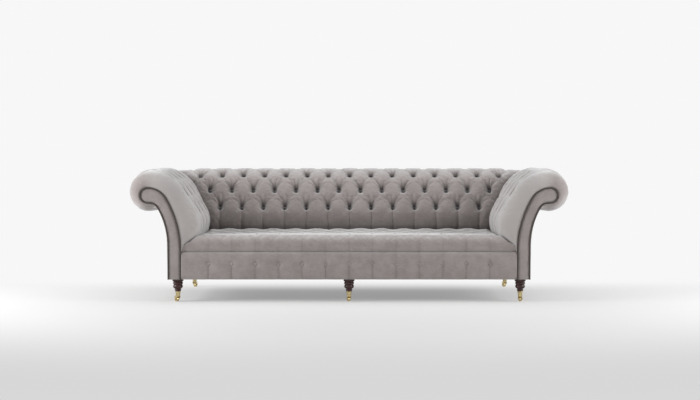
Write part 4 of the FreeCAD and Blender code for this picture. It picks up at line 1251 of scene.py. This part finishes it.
def hang_lamps():
    for name, place, aim, size, power in LAMPS:
        bpy.ops.object.light_add(type="AREA", location=place)
        lamp = bpy.context.object
        lamp.name = name
        lamp.data.shape = "RECTANGLE"
        lamp.data.size, lamp.data.size_y = size
        lamp.data.energy = power
        lamp.visible_camera = False
        lamp.rotation_euler = (Vector(aim) - Vector(place)).to_track_quat("-Z", "Y").to_euler()


def light_surroundings():
    """A dim even light all round, which is seen as a white backdrop."""
    world = bpy.data.worlds.new("studio")
    world.use_nodes = True
    sky = Nodes(world.node_tree)
    sky.tree.nodes.remove(sky.tree.nodes["Background"])
    light, backdrop = (
        sky.add("ShaderNodeBackground", sockets={"Color": WHITE, "Strength": strength})
        for strength in (AMBIENT, BACKDROP_WHITE)
    )
    mixed = sky.add("ShaderNodeMixShader", sockets={0: sky.seen(), 1: light, 2: backdrop})
    sky.join(sky.tree.nodes["World Output"].inputs[0], mixed)
    bpy.context.scene.world = world


def set_camera():
    bpy.ops.object.camera_add(location=CAMERA_AT, rotation=(math.radians(90 - CAMERA_TILT), 0, 0))
    seen = bpy.context.object
    seen.data.lens = LENS
    seen.data.sensor_width = SENSOR
    seen.data.shift_x = CAMERA_SHIFT
    bpy.context.scene.camera = seen


lay_floor()
hang_lamps()
light_surroundings()
set_camera()

# The sofa, dressed

LEG_GRAIN = (14.0, 14.0, 1.5)
FRAME_GRAIN = (1.5, 12.0, 12.0)
FINISHES = {
    "upholstery": velvet(
        "grey_velvet",
        base=colour(132, 122, 119),
        deep=colour(118, 107, 104),
        pale=colour(164, 159, 157),
        shade=colour(50, 42, 40),
    ),
    "piping": cord_cloth("piping_cloth", colour(52, 46, 43), colour(82, 74, 70)),
    "leg_wood": polished_wood(
        "dark_mahogany", colour(28, 11, 10), colour(62, 30, 28), LEG_GRAIN, gloss=0.28, coat=0.15
    ),
    "frame_timber": polished_wood(
        "frame_beech", colour(178, 138, 94), colour(206, 170, 124), FRAME_GRAIN, gloss=0.5, coat=0.0
    ),
    "caster_brass": metal("aged_brass", colour(202, 186, 141), colour(146, 125, 80), 0.2, 0.4),
    "spring_steel": metal("spring_wire", colour(178, 180, 184), colour(128, 130, 134), 0.3, 0.5),
    "hessian": woven("hessian", colour(176, 146, 104), colour(122, 96, 62), 260.0),
    "dust_cloth": woven("black_dust_cloth", colour(34, 34, 36), colour(18, 18, 20), 420.0),
}
for subpart in frame["record"]["subparts"]:
    node = frame["nodes"][subpart["node"]]
    node.data.materials.clear()
    node.data.materials.append(FINISHES[subpart["material_slot"]])


def dress(piece, node, slot="upholstery"):
    """Gives a piece its finish and sets it in place of a plain solid."""
    piece.data.materials.append(FINISHES[slot])
    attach(piece, SOFA)
    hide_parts(node)
    return piece


seat = dress(seat_cushion(), "seat_pad")
back = dress(back_cushion(), "back_pad")
border = dress(border_panel(), "front_border")
dress(outside_back(), "outside_back")
arms = []
for word, side in (("left", -1), ("right", 1)):
    arms.append(dress(arm_cushion(word + "_arm_cushion", side), word + "_arm_pad"))
    dress(facing(word + "_scroll_facing", side), word + "_arm_facing")
    dress(piping(word + "_piping", side), word + "_facing_piping", slot="piping")
    dress(outside_arm(word + "_outside_cover", side), word + "_outside_arm")

# Buttons on each cover: their places, how deep they sit, and how much painted shade they get for lying deep
# in a fold
BUTTON_GROUPS = (
    ("back", face_buttons(True), [back], 1.5, 0.9),
    ("arm", face_buttons(False), arms, 1.5, 0.6),
    ("seat", seat_buttons(), [seat], 3.5, 0.0),
    ("border", border_buttons(), [border], 0.5, 0.0),
)
for name, places, covers, depth, shade in BUTTON_GROUPS:
    buttons = button_group(name + "_covered_buttons", places, covers, depth)
    # Painted shade on the buttons, by the last value of each group
    shaded = with_painted_shading(buttons, np.full(len(buttons.data.vertices), shade))
    dress(shaded, name + "_buttons")

bpy.context.scene.view_settings.view_transform = "Standard"
